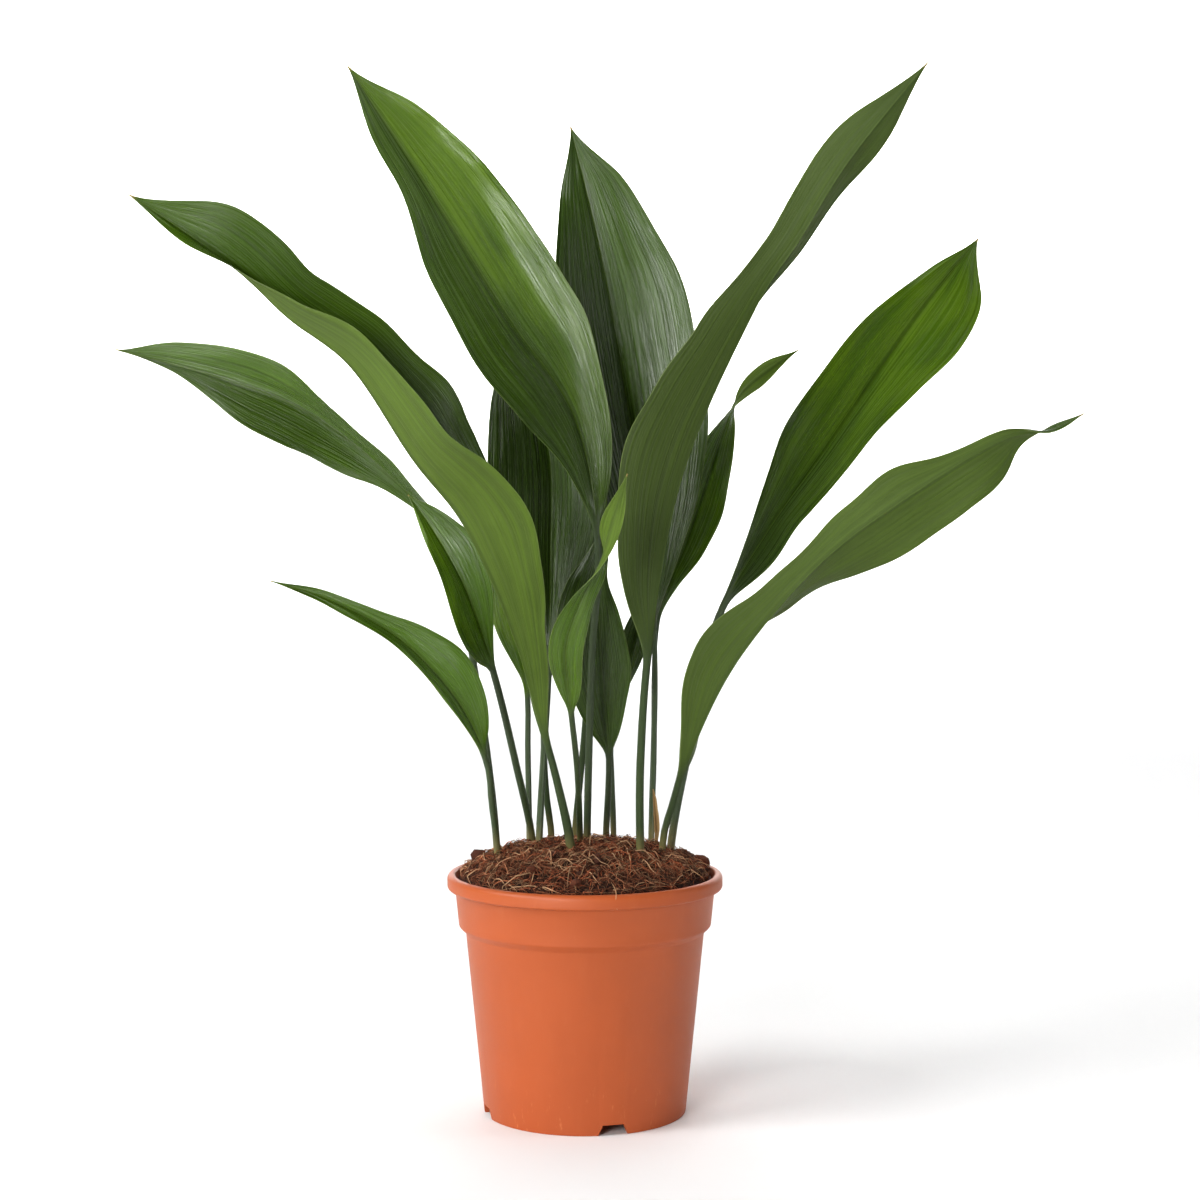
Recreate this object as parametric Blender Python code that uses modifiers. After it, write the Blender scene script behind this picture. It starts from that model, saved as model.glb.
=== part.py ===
"""Potted cast iron plant (Aspidistra elatior): terracotta-coloured nursery pot, root ball,
coir mulch and seventeen long-stalked leaves.

Lengths are written in millimetres and scaled to metres on the way into the meshes. The
origin is the centre of the pot's base on the floor, +Z is up and -Y is the front.
"""

import math
import random

import bmesh
import bpy
from mathutils import Matrix, Vector

MM = 0.001
FIT = 0.3

# Pot: a 17 cm nursery pot with a rolled rim, a collar and a tapered body.
POT_STEPS = 48
POT_HEIGHT = 149.0
RIM_RADIUS = 85.3
RIM_DROP = 9.2
COLLAR_TOP_RADIUS = 80.4
COLLAR_FOOT_RADIUS = 78.3
COLLAR_FOOT_Z = 117.5
BODY_TOP_RADIUS = 73.9
BODY_TOP_Z = 113.0
BASE_RADIUS = 62.7
WALL = 1.6
FOOT_RING = 2.6
FLOOR_UNDER_Z = 8.0
FLOOR_TOP_Z = 10.0
NOTCH_ANGLES = (-74.0, 16.0, 106.0, 196.0)
NOTCH_FOOT_WIDTH = 20.0
NOTCH_TOP_WIDTH = 13.0
NOTCH_HEIGHT = 6.5
DRAIN_COUNT = 6
DRAIN_RADIUS = 4.0
DRAIN_RING = 38.0

# Growing medium: a root ball up to the collar, then a mounded coir mulch.
BALL_TOP_Z = 118.0
MULCH_EDGE_Z = 147.0
MULCH_RISE = 17.0
MULCH_RADIUS = 78.2
MULCH_FOOT_RADIUS = 76.3
MULCH_ROUGHNESS = 1.6
STRAND_COUNT = 16
STRAND_RADIUS = 0.8
STRAND_PARTS = 4
CHIP_COUNT = 10

# Leaf sections: five points across the blade on each face.
ACROSS = (-1.0, -0.5, 0.0, 0.5, 1.0)
BLADE_HALF = 0.35
SUNK_REACH = 68.0
SUNK_STATIONS = 3
STALK_STATIONS = 4

# Each leaf: the line of stalk and midrib, the length of the blade, the half widths left and
# right of the midrib at even steps, the turn of the blade about its midrib and its V-fold
# in degrees, the stalk radius, and the height and number of the waves in its margins. The
# stalk thins by the share "slim" up to the foot of the blade.
LEAVES = {
    "leaf_far_left_high": dict(
        line=[(-7, -12, 104), (-8, -13, 160), (-16, -24, 205), (-29, -40, 256), (-42, -54, 300),
              (-58, -70, 342), (-74, -80, 373), (-98.8, -92, 405), (-132.6, -103, 456.8),
              (-167.6, -108, 484.4), (-199.5, -113, 513.7), (-256, -120, 553)],
        blade=425, left=[14, 30, 42, 43, 36, 26, 13], right=[12, 26, 40, 46, 34, 28, 29],
        turn=[145, 130, 105, 78, 64, 43, 2], fold=[44, 46, 50, 52, 56, 49, 18],
        stalk=3.6, slim=0.4, wave=1.0, waves=3, steps=22),
    "leaf_far_left_low": dict(
        line=[(-55, 30, 104), (-56, 29, 160), (-61, 23, 215), (-71, 17, 285), (-84, 12, 348),
              (-113, 8, 388), (-164, 8, 430), (-218, 12, 453), (-292, 20, 473)],
        blade=275, left=[3, 8, 19, 28, 25, 16, 4], right=[8, 18, 26, 28, 28, 22, 14],
        turn=[-30, -45, -42, -12, 0], fold=[25, 25, 22, 15, 10],
        stalk=2.3, wave=1.0, waves=3, steps=16),
    "leaf_tall_left": dict(
        line=[(1, 24, 104), (1, 24, 160), (4, 6, 278), (8, -6, 352), (-6, -10, 430),
              (-45, -24, 489), (-92, -48, 564), (-137, -75, 632)],
        blade=325, left=[14, 31, 35, 32, 27, 16, 12], right=[14, 24, 39, 42, 40, 35, 22],
        turn=[10, 10, 5, 0, 0], fold=[20, 14, 10, 8],
        stalk=2.4, wave=1.5, waves=3, steps=16),
    "leaf_centre_left": dict(
        line=[(-29, 10, 104), (-29, 11, 160), (-26, 20, 220), (-23, 34, 275),
              (-22, 42, 341), (-22, 41, 400), (-32, 38, 450), (-52, 36, 500)],
        blade=240, left=[13, 28, 40, 42, 40, 32, 17], right=[12, 24, 34, 38, 36, 28, 16],
        turn=[-10, -5, 0, 0], fold=[25, 20, 15, 10],
        stalk=2.3, wave=1.0, waves=2, steps=14),
    "leaf_tall_centre": dict(
        line=[(41, 43, 104), (42, 44, 160), (44, 52, 225), (44, 58, 293), (36, 60, 379),
              (22, 64, 469), (8, 78, 545), (-10, 100, 622)],
        blade=335, left=[16, 28, 37, 40, 39, 30, 16], right=[19, 38, 50, 51, 50, 38, 24],
        turn=[5, 8, 8, 8, 5], fold=[25, 20, 18, 12],
        stalk=1.9, wave=1.0, waves=3, steps=16),
    "leaf_tall_right": dict(
        line=[(34, -14, 104), (34, -15, 158), (34, -24, 222), (40, -33, 300),
              (59, -44, 398), (100, -57, 492), (126, -66, 533), (154, -80, 578),
              (196, -100, 630)],
        blade=400, left=[12, 22, 26, 26, 22, 20, 14], right=[22, 34, 36, 27, 18, 18, 14],
        turn=[215, 225, 225, 220, 205, 190], fold=[45, 45, 45, 38, 15],
        stalk=2.6, wave=1.2, waves=4, steps=20),
    "leaf_small_front": dict(
        line=[(-3, 12, 104), (-3, 10, 160), (-4.5, -18, 213), (-8.5, -48, 258), (-11, -72, 293),
              (-2, -84, 322), (10, -90, 345), (17, -94, 370), (25, -97, 396)],
        blade=165, left=[6, 10, 11, 10, 9, 9, 6], right=[8, 11, 11, 10, 9, 9, 6],
        turn=[-20, -10, 0, 30, 90, 150, 170], fold=[15, 10, 5],
        stalk=2.0, wave=0.5, waves=2, steps=16),
    "leaf_low_centre": dict(
        line=[(13, 45, 104), (13, 46, 160), (15, 40, 214), (11, 32, 261), (9, 25, 300),
              (9, 22, 334), (12, 22, 367)],
        blade=154, left=[11, 19, 24, 27, 28, 21, 8], right=[9, 16, 20, 18, 13, 6, 5],
        turn=[0, 0, 0], fold=[20, 15],
        stalk=2.2, wave=0.8, waves=2, steps=12),
    "leaf_back_right": dict(
        line=[(42, 55, 104), (42, 57, 160), (44, 74, 221), (47, 90, 299), (66, 103, 352),
              (80, 111, 392), (91, 118, 425), (101.9, 124, 446.9), (119.7, 130, 463.8),
              (142.5, 134, 478.7)],
        blade=215, left=[8, 16, 22, 18, 12, 9, 6], right=[7, 14, 18, 15, 12, 9, 7],
        turn=[20, 20, 15, 15, 60, 150, 190], fold=[20, 10, 5],
        stalk=1.7, wave=0.5, waves=2, steps=18),
    "leaf_broad_right": dict(
        line=[(53, 20, 104), (54, 22, 162), (67, 40, 227), (83, 52, 299), (116, 68, 357),
              (162, 90, 419), (217, 115, 497), (262, 135, 553)],
        blade=310, left=[8, 19, 31, 33, 31, 24, 13], right=[15, 17, 21, 24, 31, 37, 29],
        turn=[0, -10, -10, -5, 0], fold=[25, 20, 10],
        stalk=2.6, wave=1.2, waves=3, steps=16),
    "leaf_low_right": dict(
        line=[(47, 4, 104), (48, 2, 164), (54, -5, 192), (64, -22, 226), (92, -45, 285),
              (138, -64, 342), (186, -74, 380), (242, -80, 415), (269, -82, 421),
              (291, -80, 431)],
        blade=350, left=[12, 18, 22, 24, 24, 28, 31, 30, 27, 22, 6.5],
        right=[8, 20, 26, 20, 15, 14, 17, 20, 11, 6, 6.5],
        turn=[225, 225, 222, 192, 185, 190, 340], fold=[45, 45, 40, 20, 12, 8],
        stalk=2.3, wave=1.5, waves=4, steps=20),
    "leaf_small_left": dict(
        line=[(-54, -4, 104), (-54, -6, 160), (-57, -18, 195), (-60, -27, 222),
              (-76, -52, 261), (-107, -78, 299), (-146, -98, 323), (-179, -110, 335)],
        blade=190, left=[5, 8, 8, 7, 6, 5, 3], right=[10, 18, 22, 17, 9, 6, 4],
        turn=[20, 20, 10, 0], fold=[30, 20],
        stalk=2.2, wave=0.6, waves=2, steps=14),
    "leaf_mid_left": dict(
        line=[(-33, 30, 104), (-33, 29, 160), (-43, 5, 216), (-56, -15, 275), (-72, -22, 325),
              (-92, -18, 361), (-108, -12, 383)],
        blade=122, left=[17, 22, 21, 18, 15, 11, 6], right=[5, 10, 15, 18, 20, 16, 9],
        turn=[20, 20, 20], fold=[40, 35, 30],
        stalk=2.4, wave=0.6, waves=2, steps=12),
    "leaf_young_left": dict(
        line=[(-36, 48, 104), (-36, 50, 160), (-36.5, 53, 191.2), (-37.1, 56, 221.2),
              (-37.3, 60, 250.4), (-41.5, 62, 289), (-50, 66, 324.2), (-59.1, 70, 353.1)],
        blade=106, left=[3, 9, 14, 16, 15, 11, 6], right=[3, 9, 13, 15, 14, 11, 6],
        turn=[0, 0, 0], fold=[20, 15],
        stalk=2.0, wave=0.4, waves=2, steps=10),
    "leaf_young_right": dict(
        line=[(17, 58, 104), (18, 59, 160), (16.7, 62, 201.7), (16.1, 64, 220.2),
              (17.7, 66, 236.9), (22.2, 68, 256.2), (29.4, 70, 280.6), (35.8, 72, 302.6),
              (41.7, 74, 323.8)],
        blade=85, left=[3, 6, 8, 9, 9, 7, 4], right=[3, 6, 8, 9, 9, 7, 4],
        turn=[0, 0, 0], fold=[20, 15],
        stalk=2.0, wave=0.4, waves=2, steps=10),
    "leaf_back_left": dict(
        line=[(-22, 58, 104), (-22, 60, 160), (-24.9, 63, 184.1), (-26.4, 66, 200.9),
              (-27.1, 70, 219.5), (-27.6, 76, 237.8), (-31, 90, 290), (-35, 100, 330),
              (-43, 114, 400), (-54, 130, 458)],
        blade=200, left=[8, 16, 21, 22, 20, 16, 9], right=[8, 16, 21, 22, 20, 16, 9],
        turn=[180, 180, 180], fold=[20, 12],
        stalk=2.2, wave=0.8, waves=2, steps=12),
    "leaf_back_centre": dict(
        line=[(-7, 60, 104), (-7, 63, 160), (-1, 78, 225), (4, 94, 300), (4, 110, 380),
              (1, 124, 460), (-3, 136, 518)],
        blade=220, left=[8, 15, 20, 21, 20, 16, 9], right=[8, 15, 20, 21, 20, 16, 9],
        turn=[180, 180, 180], fold=[20, 12],
        stalk=2.2, wave=0.8, waves=2, steps=12),
    "dry_sheath": dict(
        line=[(45, 38, 104), (45, 38, 150), (45, 37, 175), (43, 36, 196)],
        blade=32, left=[2, 2.5, 2.5, 2.5, 2, 2, 1.5], right=[2, 2.5, 2.5, 2.5, 2, 2, 1.5],
        turn=[20, 0, 10], fold=[40, 30],
        stalk=1.4, wave=0.0, waves=1, steps=6),
}

COLOURS = {
    "pot": ((0.64, 0.155, 0.055), 0.55),
    "root_ball": ((0.06, 0.035, 0.02), 0.95),
    "coir_mulch": ((0.20, 0.085, 0.04), 0.95),
    "dry_sheath": ((0.48, 0.33, 0.16), 0.8),
    "leaf": ((0.055, 0.13, 0.03), 0.45),
}


def clear_scene():
    for thing in list(bpy.data.objects):
        bpy.data.objects.remove(thing)


def make_collection(name):
    group = bpy.data.collections.new(name)
    bpy.context.scene.collection.children.link(group)
    return group


def make_material(name, colour, roughness):
    material = bpy.data.materials.new(name)
    material.use_nodes = True
    shader = material.node_tree.nodes["Principled BSDF"]
    shader.inputs["Base Color"].default_value = (*colour, 1.0)
    shader.inputs["Roughness"].default_value = roughness
    material.diffuse_color = (*colour, 1.0)
    return material


def add_mesh(name, verts, faces, group, material=None):
    """Object from millimetre points and faces."""
    mesh = bpy.data.meshes.new(name)
    scaled = [(x * MM, y * MM, z * MM) for x, y, z in verts]
    mesh.from_pydata(scaled, [], faces)
    mesh.update()
    thing = bpy.data.objects.new(name, mesh)
    group.objects.link(thing)
    if material:
        mesh.materials.append(material)
    return thing


def from_bmesh(name, shape, group, material=None):
    mesh = bpy.data.meshes.new(name)
    shape.to_mesh(mesh)
    shape.free()
    thing = bpy.data.objects.new(name, mesh)
    group.objects.link(thing)
    if material:
        mesh.materials.append(material)
    return thing


def turned_solid(name, profile, group, steps):
    """Closed solid turned about Z from an (r, z) outline in millimetres."""
    verts = [(r, 0.0, z) for r, z in profile]
    edges = [(i, (i + 1) % len(profile)) for i in range(len(profile))]
    if profile[0][0] == 0.0:
        edges = edges[:-1]
    mesh = bpy.data.meshes.new(name)
    mesh.from_pydata([(x * MM, y * MM, z * MM) for x, y, z in verts], edges, [])
    thing = bpy.data.objects.new(name, mesh)
    group.objects.link(thing)
    screw = thing.modifiers.new("turn", "SCREW")
    screw.axis = "Z"
    screw.steps = steps
    screw.render_steps = steps
    screw.use_merge_vertices = True
    screw.merge_threshold = 0.00005
    screw.use_normal_calculate = True
    return thing


def cut(thing, cutter, label, operation="DIFFERENCE", tangled=False):
    step = thing.modifiers.new(label, "BOOLEAN")
    step.operation = operation
    step.object = cutter
    step.solver = "EXACT"
    step.use_self = tangled
    return step


def bake(thing):
    """Replace the object's mesh with the result of its modifiers."""
    bpy.context.view_layer.update()
    graph = bpy.context.evaluated_depsgraph_get()
    mesh = bpy.data.meshes.new_from_object(thing.evaluated_get(graph))
    thing.modifiers.clear()
    thing.data = mesh
    return thing


def keep_largest(thing):
    """Drops the specks and slivers a cut can leave, keeping the one main body."""
    shape = bmesh.new()
    shape.from_mesh(thing.data)
    bmesh.ops.triangulate(shape, faces=shape.faces)
    left = set(shape.faces)
    groups = []
    while left:
        reach = [left.pop()]
        group = list(reach)
        while reach:
            for edge in reach.pop().edges:
                for face in edge.link_faces:
                    if face in left:
                        left.remove(face)
                        reach.append(face)
                        group.append(face)
        groups.append(group)
    groups.sort(key=len)
    for group in groups[:-1]:
        bmesh.ops.delete(shape, geom=group, context="FACES")
    shape.to_mesh(thing.data)
    shape.free()
    return thing


def as_cutter(thing):
    thing.hide_render = True
    thing.display_type = "WIRE"
    return thing


# ---------------------------------------------------------------- leaf geometry


def along(values, t):
    """Value at t of numbers spaced evenly from 0 to 1, by a smooth curve through them."""
    x = min(max(t, 0.0), 1.0) * (len(values) - 1)
    i = min(int(x), len(values) - 2)
    f = x - i
    a = values[max(i - 1, 0)]
    b = values[i]
    c = values[i + 1]
    d = values[min(i + 2, len(values) - 1)]
    return 0.5 * (2 * b + (c - a) * f + (2 * a - 5 * b + 4 * c - d) * f * f
                  + (3 * b - 3 * c + d - a) * f ** 3)


def line_point(line, t):
    return tuple(along([point[k] for point in line], t) for k in range(3))


def plus(a, b, scale=1.0):
    return tuple(x + y * scale for x, y in zip(a, b))


def cross(a, b):
    return (a[1] * b[2] - a[2] * b[1], a[2] * b[0] - a[0] * b[2], a[0] * b[1] - a[1] * b[0])


def unit(a):
    size = math.sqrt(sum(x * x for x in a))
    return tuple(x / size for x in a)


def ease(t):
    t = min(1.0, max(0.0, t))
    return t * t * (3 - 2 * t)


class Measure:
    """Turns a distance along a leaf's line into the line's own parameter."""

    def __init__(self, line, parts=160):
        self.parts = parts
        points = [line_point(line, i / parts) for i in range(parts + 1)]
        self.marks = [0.0]
        for a, b in zip(points, points[1:]):
            self.marks.append(self.marks[-1] + math.dist(a, b))
        self.length = self.marks[-1]

    def at(self, distance):
        low = 0
        high = self.parts
        while high - low > 1:
            middle = (low + high) // 2
            if self.marks[middle] <= distance:
                low = middle
            else:
                high = middle
        span = max(self.marks[high] - self.marks[low], 1e-9)
        return (low + (distance - self.marks[low]) / span) / self.parts


def stand(line, t, turn):
    """Centre, across, upward-face and forward directions of the leaf at t."""
    centre = line_point(line, t)
    ahead = line_point(line, min(1.0, t + 1e-3))
    behind = line_point(line, max(0.0, t - 1e-3))
    forward = unit(plus(ahead, behind, -1.0))
    side = unit(cross((0.0, 1.0, 0.0), forward))
    back = cross(forward, side)
    angle = math.radians(turn)
    across = plus(tuple(x * math.cos(angle) for x in side), back, math.sin(angle))
    face = cross(across, forward)
    return centre, across, face, forward


def section(leaf, measure, distance, grow=0.0):
    """Ring of points round the leaf at a distance from its foot, upper face first."""
    start = measure.length - leaf["blade"]
    t = max(0.0, (distance - start) / leaf["blade"])
    turn = along(leaf["turn"], t)
    centre, across, face, _ = stand(leaf["line"], measure.at(distance), turn)
    left = max(0.0, along([0] + leaf["left"] + [0], t))
    right = max(0.0, along([0] + leaf["right"] + [0], t))
    opened = ease(t / 0.22)
    slim = leaf.get("slim", 0.1) * min(1.0, distance / start)
    stalk = leaf["stalk"] * (1 - slim) + grow
    rib = stalk * (1 - opened) + BLADE_HALF * opened
    fold = math.radians(along(leaf["fold"], t)) * ease(t / 0.12)
    fade = ease(t / 0.25) * ease((1 - t) / 0.12)
    ring = []
    for top in (1, -1):
        row = []
        for u in ACROSS:
            half = math.hypot(left if u < 0 else right, rib)
            reach = half * u * math.cos(fold)
            lift = half * abs(u) * math.sin(fold)
            phase = 2 * math.pi * leaf["waves"] * t + (1.3 if u < 0 else 0.0)
            lift += leaf["wave"] * fade * u * u * math.sin(phase)
            thick = max(BLADE_HALF, rib * math.sqrt(max(0.0, 1 - u * u)))
            point = plus(plus(centre, across, reach), face, lift + top * thick)
            row.append(point)
        ring.append(row)
    return ring[0], ring[1]


def skin(rings):
    """Closed mesh over the rings: upper and lower faces are split along the same line."""
    n = len(ACROSS)
    verts = []
    faces = []
    for upper, lower in rings:
        verts.extend(upper)
        verts.extend(lower)
    size = 2 * n
    for s in range(len(rings) - 1):
        a = s * size
        b = a + size
        for i in range(n - 1):
            faces.append((a + i, a + i + 1, b + i + 1))
            faces.append((a + i, b + i + 1, b + i))
            faces.append((a + n + i + 1, a + n + i, b + n + i + 1))
            faces.append((b + n + i + 1, a + n + i, b + n + i))
        faces.append((a, b, b + n))
        faces.append((a, b + n, a + n))
        faces.append((a + n - 1, a + 2 * n - 1, b + 2 * n - 1))
        faces.append((a + n - 1, b + 2 * n - 1, b + n - 1))
    last = (len(rings) - 1) * size
    for i in range(n - 1):
        faces.append((i, n + i, n + i + 1))
        faces.append((i, n + i + 1, i + 1))
        faces.append((last + i, last + n + i + 1, last + n + i))
        faces.append((last + i, last + i + 1, last + n + i + 1))
    return verts, faces


def outward(thing):
    shape = bmesh.new()
    shape.from_mesh(thing.data)
    bmesh.ops.recalc_face_normals(shape, faces=shape.faces)
    shape.to_mesh(thing.data)
    shape.free()
    return thing


def build_leaf(name, leaf, group, material):
    measure = Measure(leaf["line"])
    start = measure.length - leaf["blade"]
    sunk = min(SUNK_REACH, start)
    stops = [sunk * i / SUNK_STATIONS for i in range(SUNK_STATIONS)]
    free = STALK_STATIONS if start > sunk + 1.0 else 0
    stops += [sunk + (start - sunk) * i / free for i in range(free)]
    for i in range(leaf["steps"] + 1):
        stops.append(start + leaf["blade"] * i / leaf["steps"])
    rings = [section(leaf, measure, stop) for stop in stops]
    verts, faces = skin(rings)
    return outward(add_mesh(name, verts, faces, group, material))


def build_bore(name, leaf, group):
    """Hole for a stalk: its own section, enlarged by the fit, up through the mulch."""
    measure = Measure(leaf["line"])
    start = measure.length - leaf["blade"]
    sunk = min(SUNK_REACH, start)
    stops = [sunk * i / SUNK_STATIONS for i in range(SUNK_STATIONS + 1)]
    rings = [section(leaf, measure, stop, FIT * 1.25) for stop in stops]
    below = [[plus(point, (0.0, 0.0, -FIT)) for point in row] for row in rings[0]]
    rings[0] = (below[0], below[1])
    verts, faces = skin(rings)
    return as_cutter(outward(add_mesh(name, verts, faces, group)))


# ---------------------------------------------------------------- pot


def body_radius(z):
    """Outer radius of the pot's tapered body."""
    return BASE_RADIUS + (BODY_TOP_RADIUS - BASE_RADIUS) * z / BODY_TOP_Z


def pot_profile():
    rim_under = POT_HEIGHT - RIM_DROP
    outside = [
        (BASE_RADIUS - 0.5, 0.0),
        (BASE_RADIUS, 0.6),
        (BODY_TOP_RADIUS, BODY_TOP_Z),
        (COLLAR_FOOT_RADIUS - 0.6, COLLAR_FOOT_Z - 1.2),
        (COLLAR_FOOT_RADIUS, COLLAR_FOOT_Z),
        (COLLAR_TOP_RADIUS, rim_under),
        (RIM_RADIUS - 1.5, rim_under - 0.4),
        (RIM_RADIUS, rim_under + 1.8),
        (RIM_RADIUS, POT_HEIGHT - 3.0),
        (RIM_RADIUS - 1.2, POT_HEIGHT - 0.8),
        (RIM_RADIUS - 2.8, POT_HEIGHT),
        (COLLAR_TOP_RADIUS, POT_HEIGHT - 0.6),
    ]
    inside = [
        (COLLAR_TOP_RADIUS - WALL, POT_HEIGHT - 2.6),
        (COLLAR_FOOT_RADIUS - WALL, COLLAR_FOOT_Z + 0.6),
        (BODY_TOP_RADIUS - WALL, BODY_TOP_Z - 1.4),
        (body_radius(FLOOR_TOP_Z) - WALL - 0.8, FLOOR_TOP_Z + 1.0),
        (body_radius(FLOOR_TOP_Z) - WALL - 2.0, FLOOR_TOP_Z),
        (0.0, FLOOR_TOP_Z),
        (0.0, FLOOR_UNDER_Z),
        (BASE_RADIUS - FOOT_RING, FLOOR_UNDER_Z),
        (BASE_RADIUS - FOOT_RING, 0.0),
    ]
    return outside + inside


def build_pot(group, cutters, material):
    pot = turned_closed("pot", pot_profile(), group, POT_STEPS)
    pot.data.materials.append(material)
    for number, angle in enumerate(NOTCH_ANGLES):
        cutter = notch_cutter(f"notch_{number}", angle, cutters)
        cut(pot, cutter, f"drain notch {number}")
    for number in range(DRAIN_COUNT):
        turn = 2 * math.pi * (number + 0.37) / DRAIN_COUNT
        cutter = drain_cutter(f"drain_{number}", turn, cutters)
        cut(pot, cutter, f"drain hole {number}")
    bake(pot)
    pot.data.shade_smooth()
    pot.data.set_sharp_from_angle(angle=math.radians(35))
    return pot


def turned_closed(name, profile, group, steps):
    """Turned solid whose outline starts and ends on the axis."""
    axis = [i for i, (r, _) in enumerate(profile) if r == 0.0]
    first = axis[-1]
    order = profile[first:] + profile[:first]
    return turned_solid(name, order, group, steps)


def notch_cutter(name, angle, group):
    """Trapezoid block through the foot of the wall, wider at the floor."""
    turn = math.radians(angle - 90.0)
    place = Vector((BASE_RADIUS * math.cos(turn), BASE_RADIUS * math.sin(turn), 0.0)) * MM
    spread = Matrix.Diagonal((16.0 * MM, NOTCH_FOOT_WIDTH * MM, 2 * NOTCH_HEIGHT * MM, 1.0))
    shape = bmesh.new()
    bmesh.ops.create_cube(shape, size=1.0)
    for vert in shape.verts:
        if vert.co.z > 0:
            vert.co.y *= NOTCH_TOP_WIDTH / NOTCH_FOOT_WIDTH
        else:
            vert.co.z *= 0.2
    shape.transform(Matrix.Translation(place) @ Matrix.Rotation(turn, 4, "Z") @ spread)
    return as_cutter(from_bmesh(name, shape, group))


def drain_cutter(name, turn, group):
    """Round hole down through the pot's floor."""
    place = Vector((DRAIN_RING * math.cos(turn), DRAIN_RING * math.sin(turn), FLOOR_UNDER_Z)) * MM
    shape = bmesh.new()
    bmesh.ops.create_cone(shape, cap_ends=True, segments=14, radius1=DRAIN_RADIUS * MM,
                          radius2=DRAIN_RADIUS * MM, depth=9.0 * MM)
    shape.transform(Matrix.Translation(place) @ Matrix.Rotation(0.1, 4, "Z"))
    return as_cutter(from_bmesh(name, shape, group))


# ---------------------------------------------------------------- growing medium


def lumps(x, y):
    """Unevenness of the mulch, fading out at its edge."""
    edge = min(1.0, 4 * max(0.0, 1.02 - math.hypot(x, y) / MULCH_RADIUS))
    wave = math.sin(x * 0.21 + 1.7) * math.cos(y * 0.24 - 0.6)
    wave += 0.7 * math.sin(x * 0.43 - y * 0.37 + 2.1)
    wave += 0.5 * math.cos(x * 0.58 + y * 0.66)
    return MULCH_ROUGHNESS * wave * edge


def mound(radius):
    """Height of the smooth mound at a distance from the middle."""
    share = min(1.0, radius / MULCH_RADIUS)
    return MULCH_EDGE_Z + MULCH_RISE * (1 - share ** 2.6) ** 0.8


def mulch_height(x, y):
    return mound(math.hypot(x, y)) + lumps(x, y)


def build_root_ball(group, bores, material):
    low = body_radius(FLOOR_TOP_Z) - WALL - 2.0 - FIT
    profile = [
        (0.0, BALL_TOP_Z - 2.0),
        (BODY_TOP_RADIUS - WALL - FIT - 0.2, BALL_TOP_Z - 2.0),
        (BODY_TOP_RADIUS - WALL - FIT - 0.2, BODY_TOP_Z - 3.0),
        (low - 0.2, FLOOR_TOP_Z + 2.0),
        (low - 0.6, FLOOR_TOP_Z + FIT),
        (0.0, FLOOR_TOP_Z + FIT),
    ]
    ball = turned_solid("root_ball", profile, group, POT_STEPS)
    ball.data.materials.append(material)
    for bore in bores:
        cut(ball, bore, f"hole for {bore.name}")
    return keep_largest(bake(ball))


def add_fibres(picker, group):
    """Arched coir fibres with both ends in the mulch, as one cutter mesh."""
    curve = bpy.data.curves.new("fibres", "CURVE")
    curve.dimensions = "3D"
    curve.bevel_depth = STRAND_RADIUS * MM
    curve.bevel_resolution = 0
    curve.use_fill_caps = True
    for _ in range(STRAND_COUNT):
        place = free_place(picker, 10.0)
        if place is None:
            continue
        heading = picker.uniform(0, math.pi)
        length = picker.uniform(14, 24)
        bend = picker.uniform(-0.9, 0.9)
        spline = curve.splines.new("POLY")
        spline.points.add(STRAND_PARTS)
        for k, point in enumerate(spline.points):
            t = k / STRAND_PARTS
            turn = heading + bend * (t - 0.5)
            x = place[0] + length * (t - 0.5) * math.cos(turn)
            y = place[1] + length * (t - 0.5) * math.sin(turn)
            z = mulch_height(x, y) - 1.6 + 3.4 * math.sin(math.pi * t)
            point.co = (x * MM, y * MM, z * MM, 1.0)
    tube = bpy.data.objects.new("fibre_curve", curve)
    group.objects.link(tube)
    bpy.context.view_layer.update()
    graph = bpy.context.evaluated_depsgraph_get()
    shape = bmesh.new()
    mesh = bpy.data.meshes.new_from_object(tube.evaluated_get(graph))
    shape.from_mesh(mesh)
    bmesh.ops.remove_doubles(shape, verts=shape.verts, dist=0.00002)
    bmesh.ops.recalc_face_normals(shape, faces=shape.faces)
    bpy.data.objects.remove(tube)
    return as_cutter(from_bmesh("fibres", shape, group))


def add_clods(picker, group):
    """Angular clods of bark, half sunk in the mulch, as one cutter mesh."""
    shape = bmesh.new()
    for _ in range(CHIP_COUNT):
        place = free_place(picker, 8.0)
        if place is None:
            continue
        size = picker.uniform(3.0, 5.0) * MM
        spot = Vector((place[0], place[1], mulch_height(*place) + 0.5)) * MM
        turn = Matrix.Rotation(picker.uniform(0, math.pi), 4, "Z")
        tilt = Matrix.Rotation(picker.uniform(-0.4, 0.4), 4, "X")
        flat = Matrix.Diagonal((1.4, 0.9, 0.8, 1.0))
        bmesh.ops.create_cube(shape, size=size, matrix=Matrix.Translation(spot) @ turn @ tilt @ flat)
    return as_cutter(from_bmesh("clods", shape, group))


def free_place(picker, clear):
    """A spot on the mulch that keeps off every stalk."""
    feet = [leaf["line"][1] for leaf in LEAVES.values()]
    for _ in range(200):
        radius = MULCH_RADIUS * 0.86 * math.sqrt(picker.random())
        angle = picker.uniform(0.0, 2 * math.pi)
        place = (radius * math.cos(angle), radius * math.sin(angle))
        if all(math.hypot(place[0] - x, place[1] - y) > clear for x, y, _ in feet):
            return place
    return None


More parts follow.
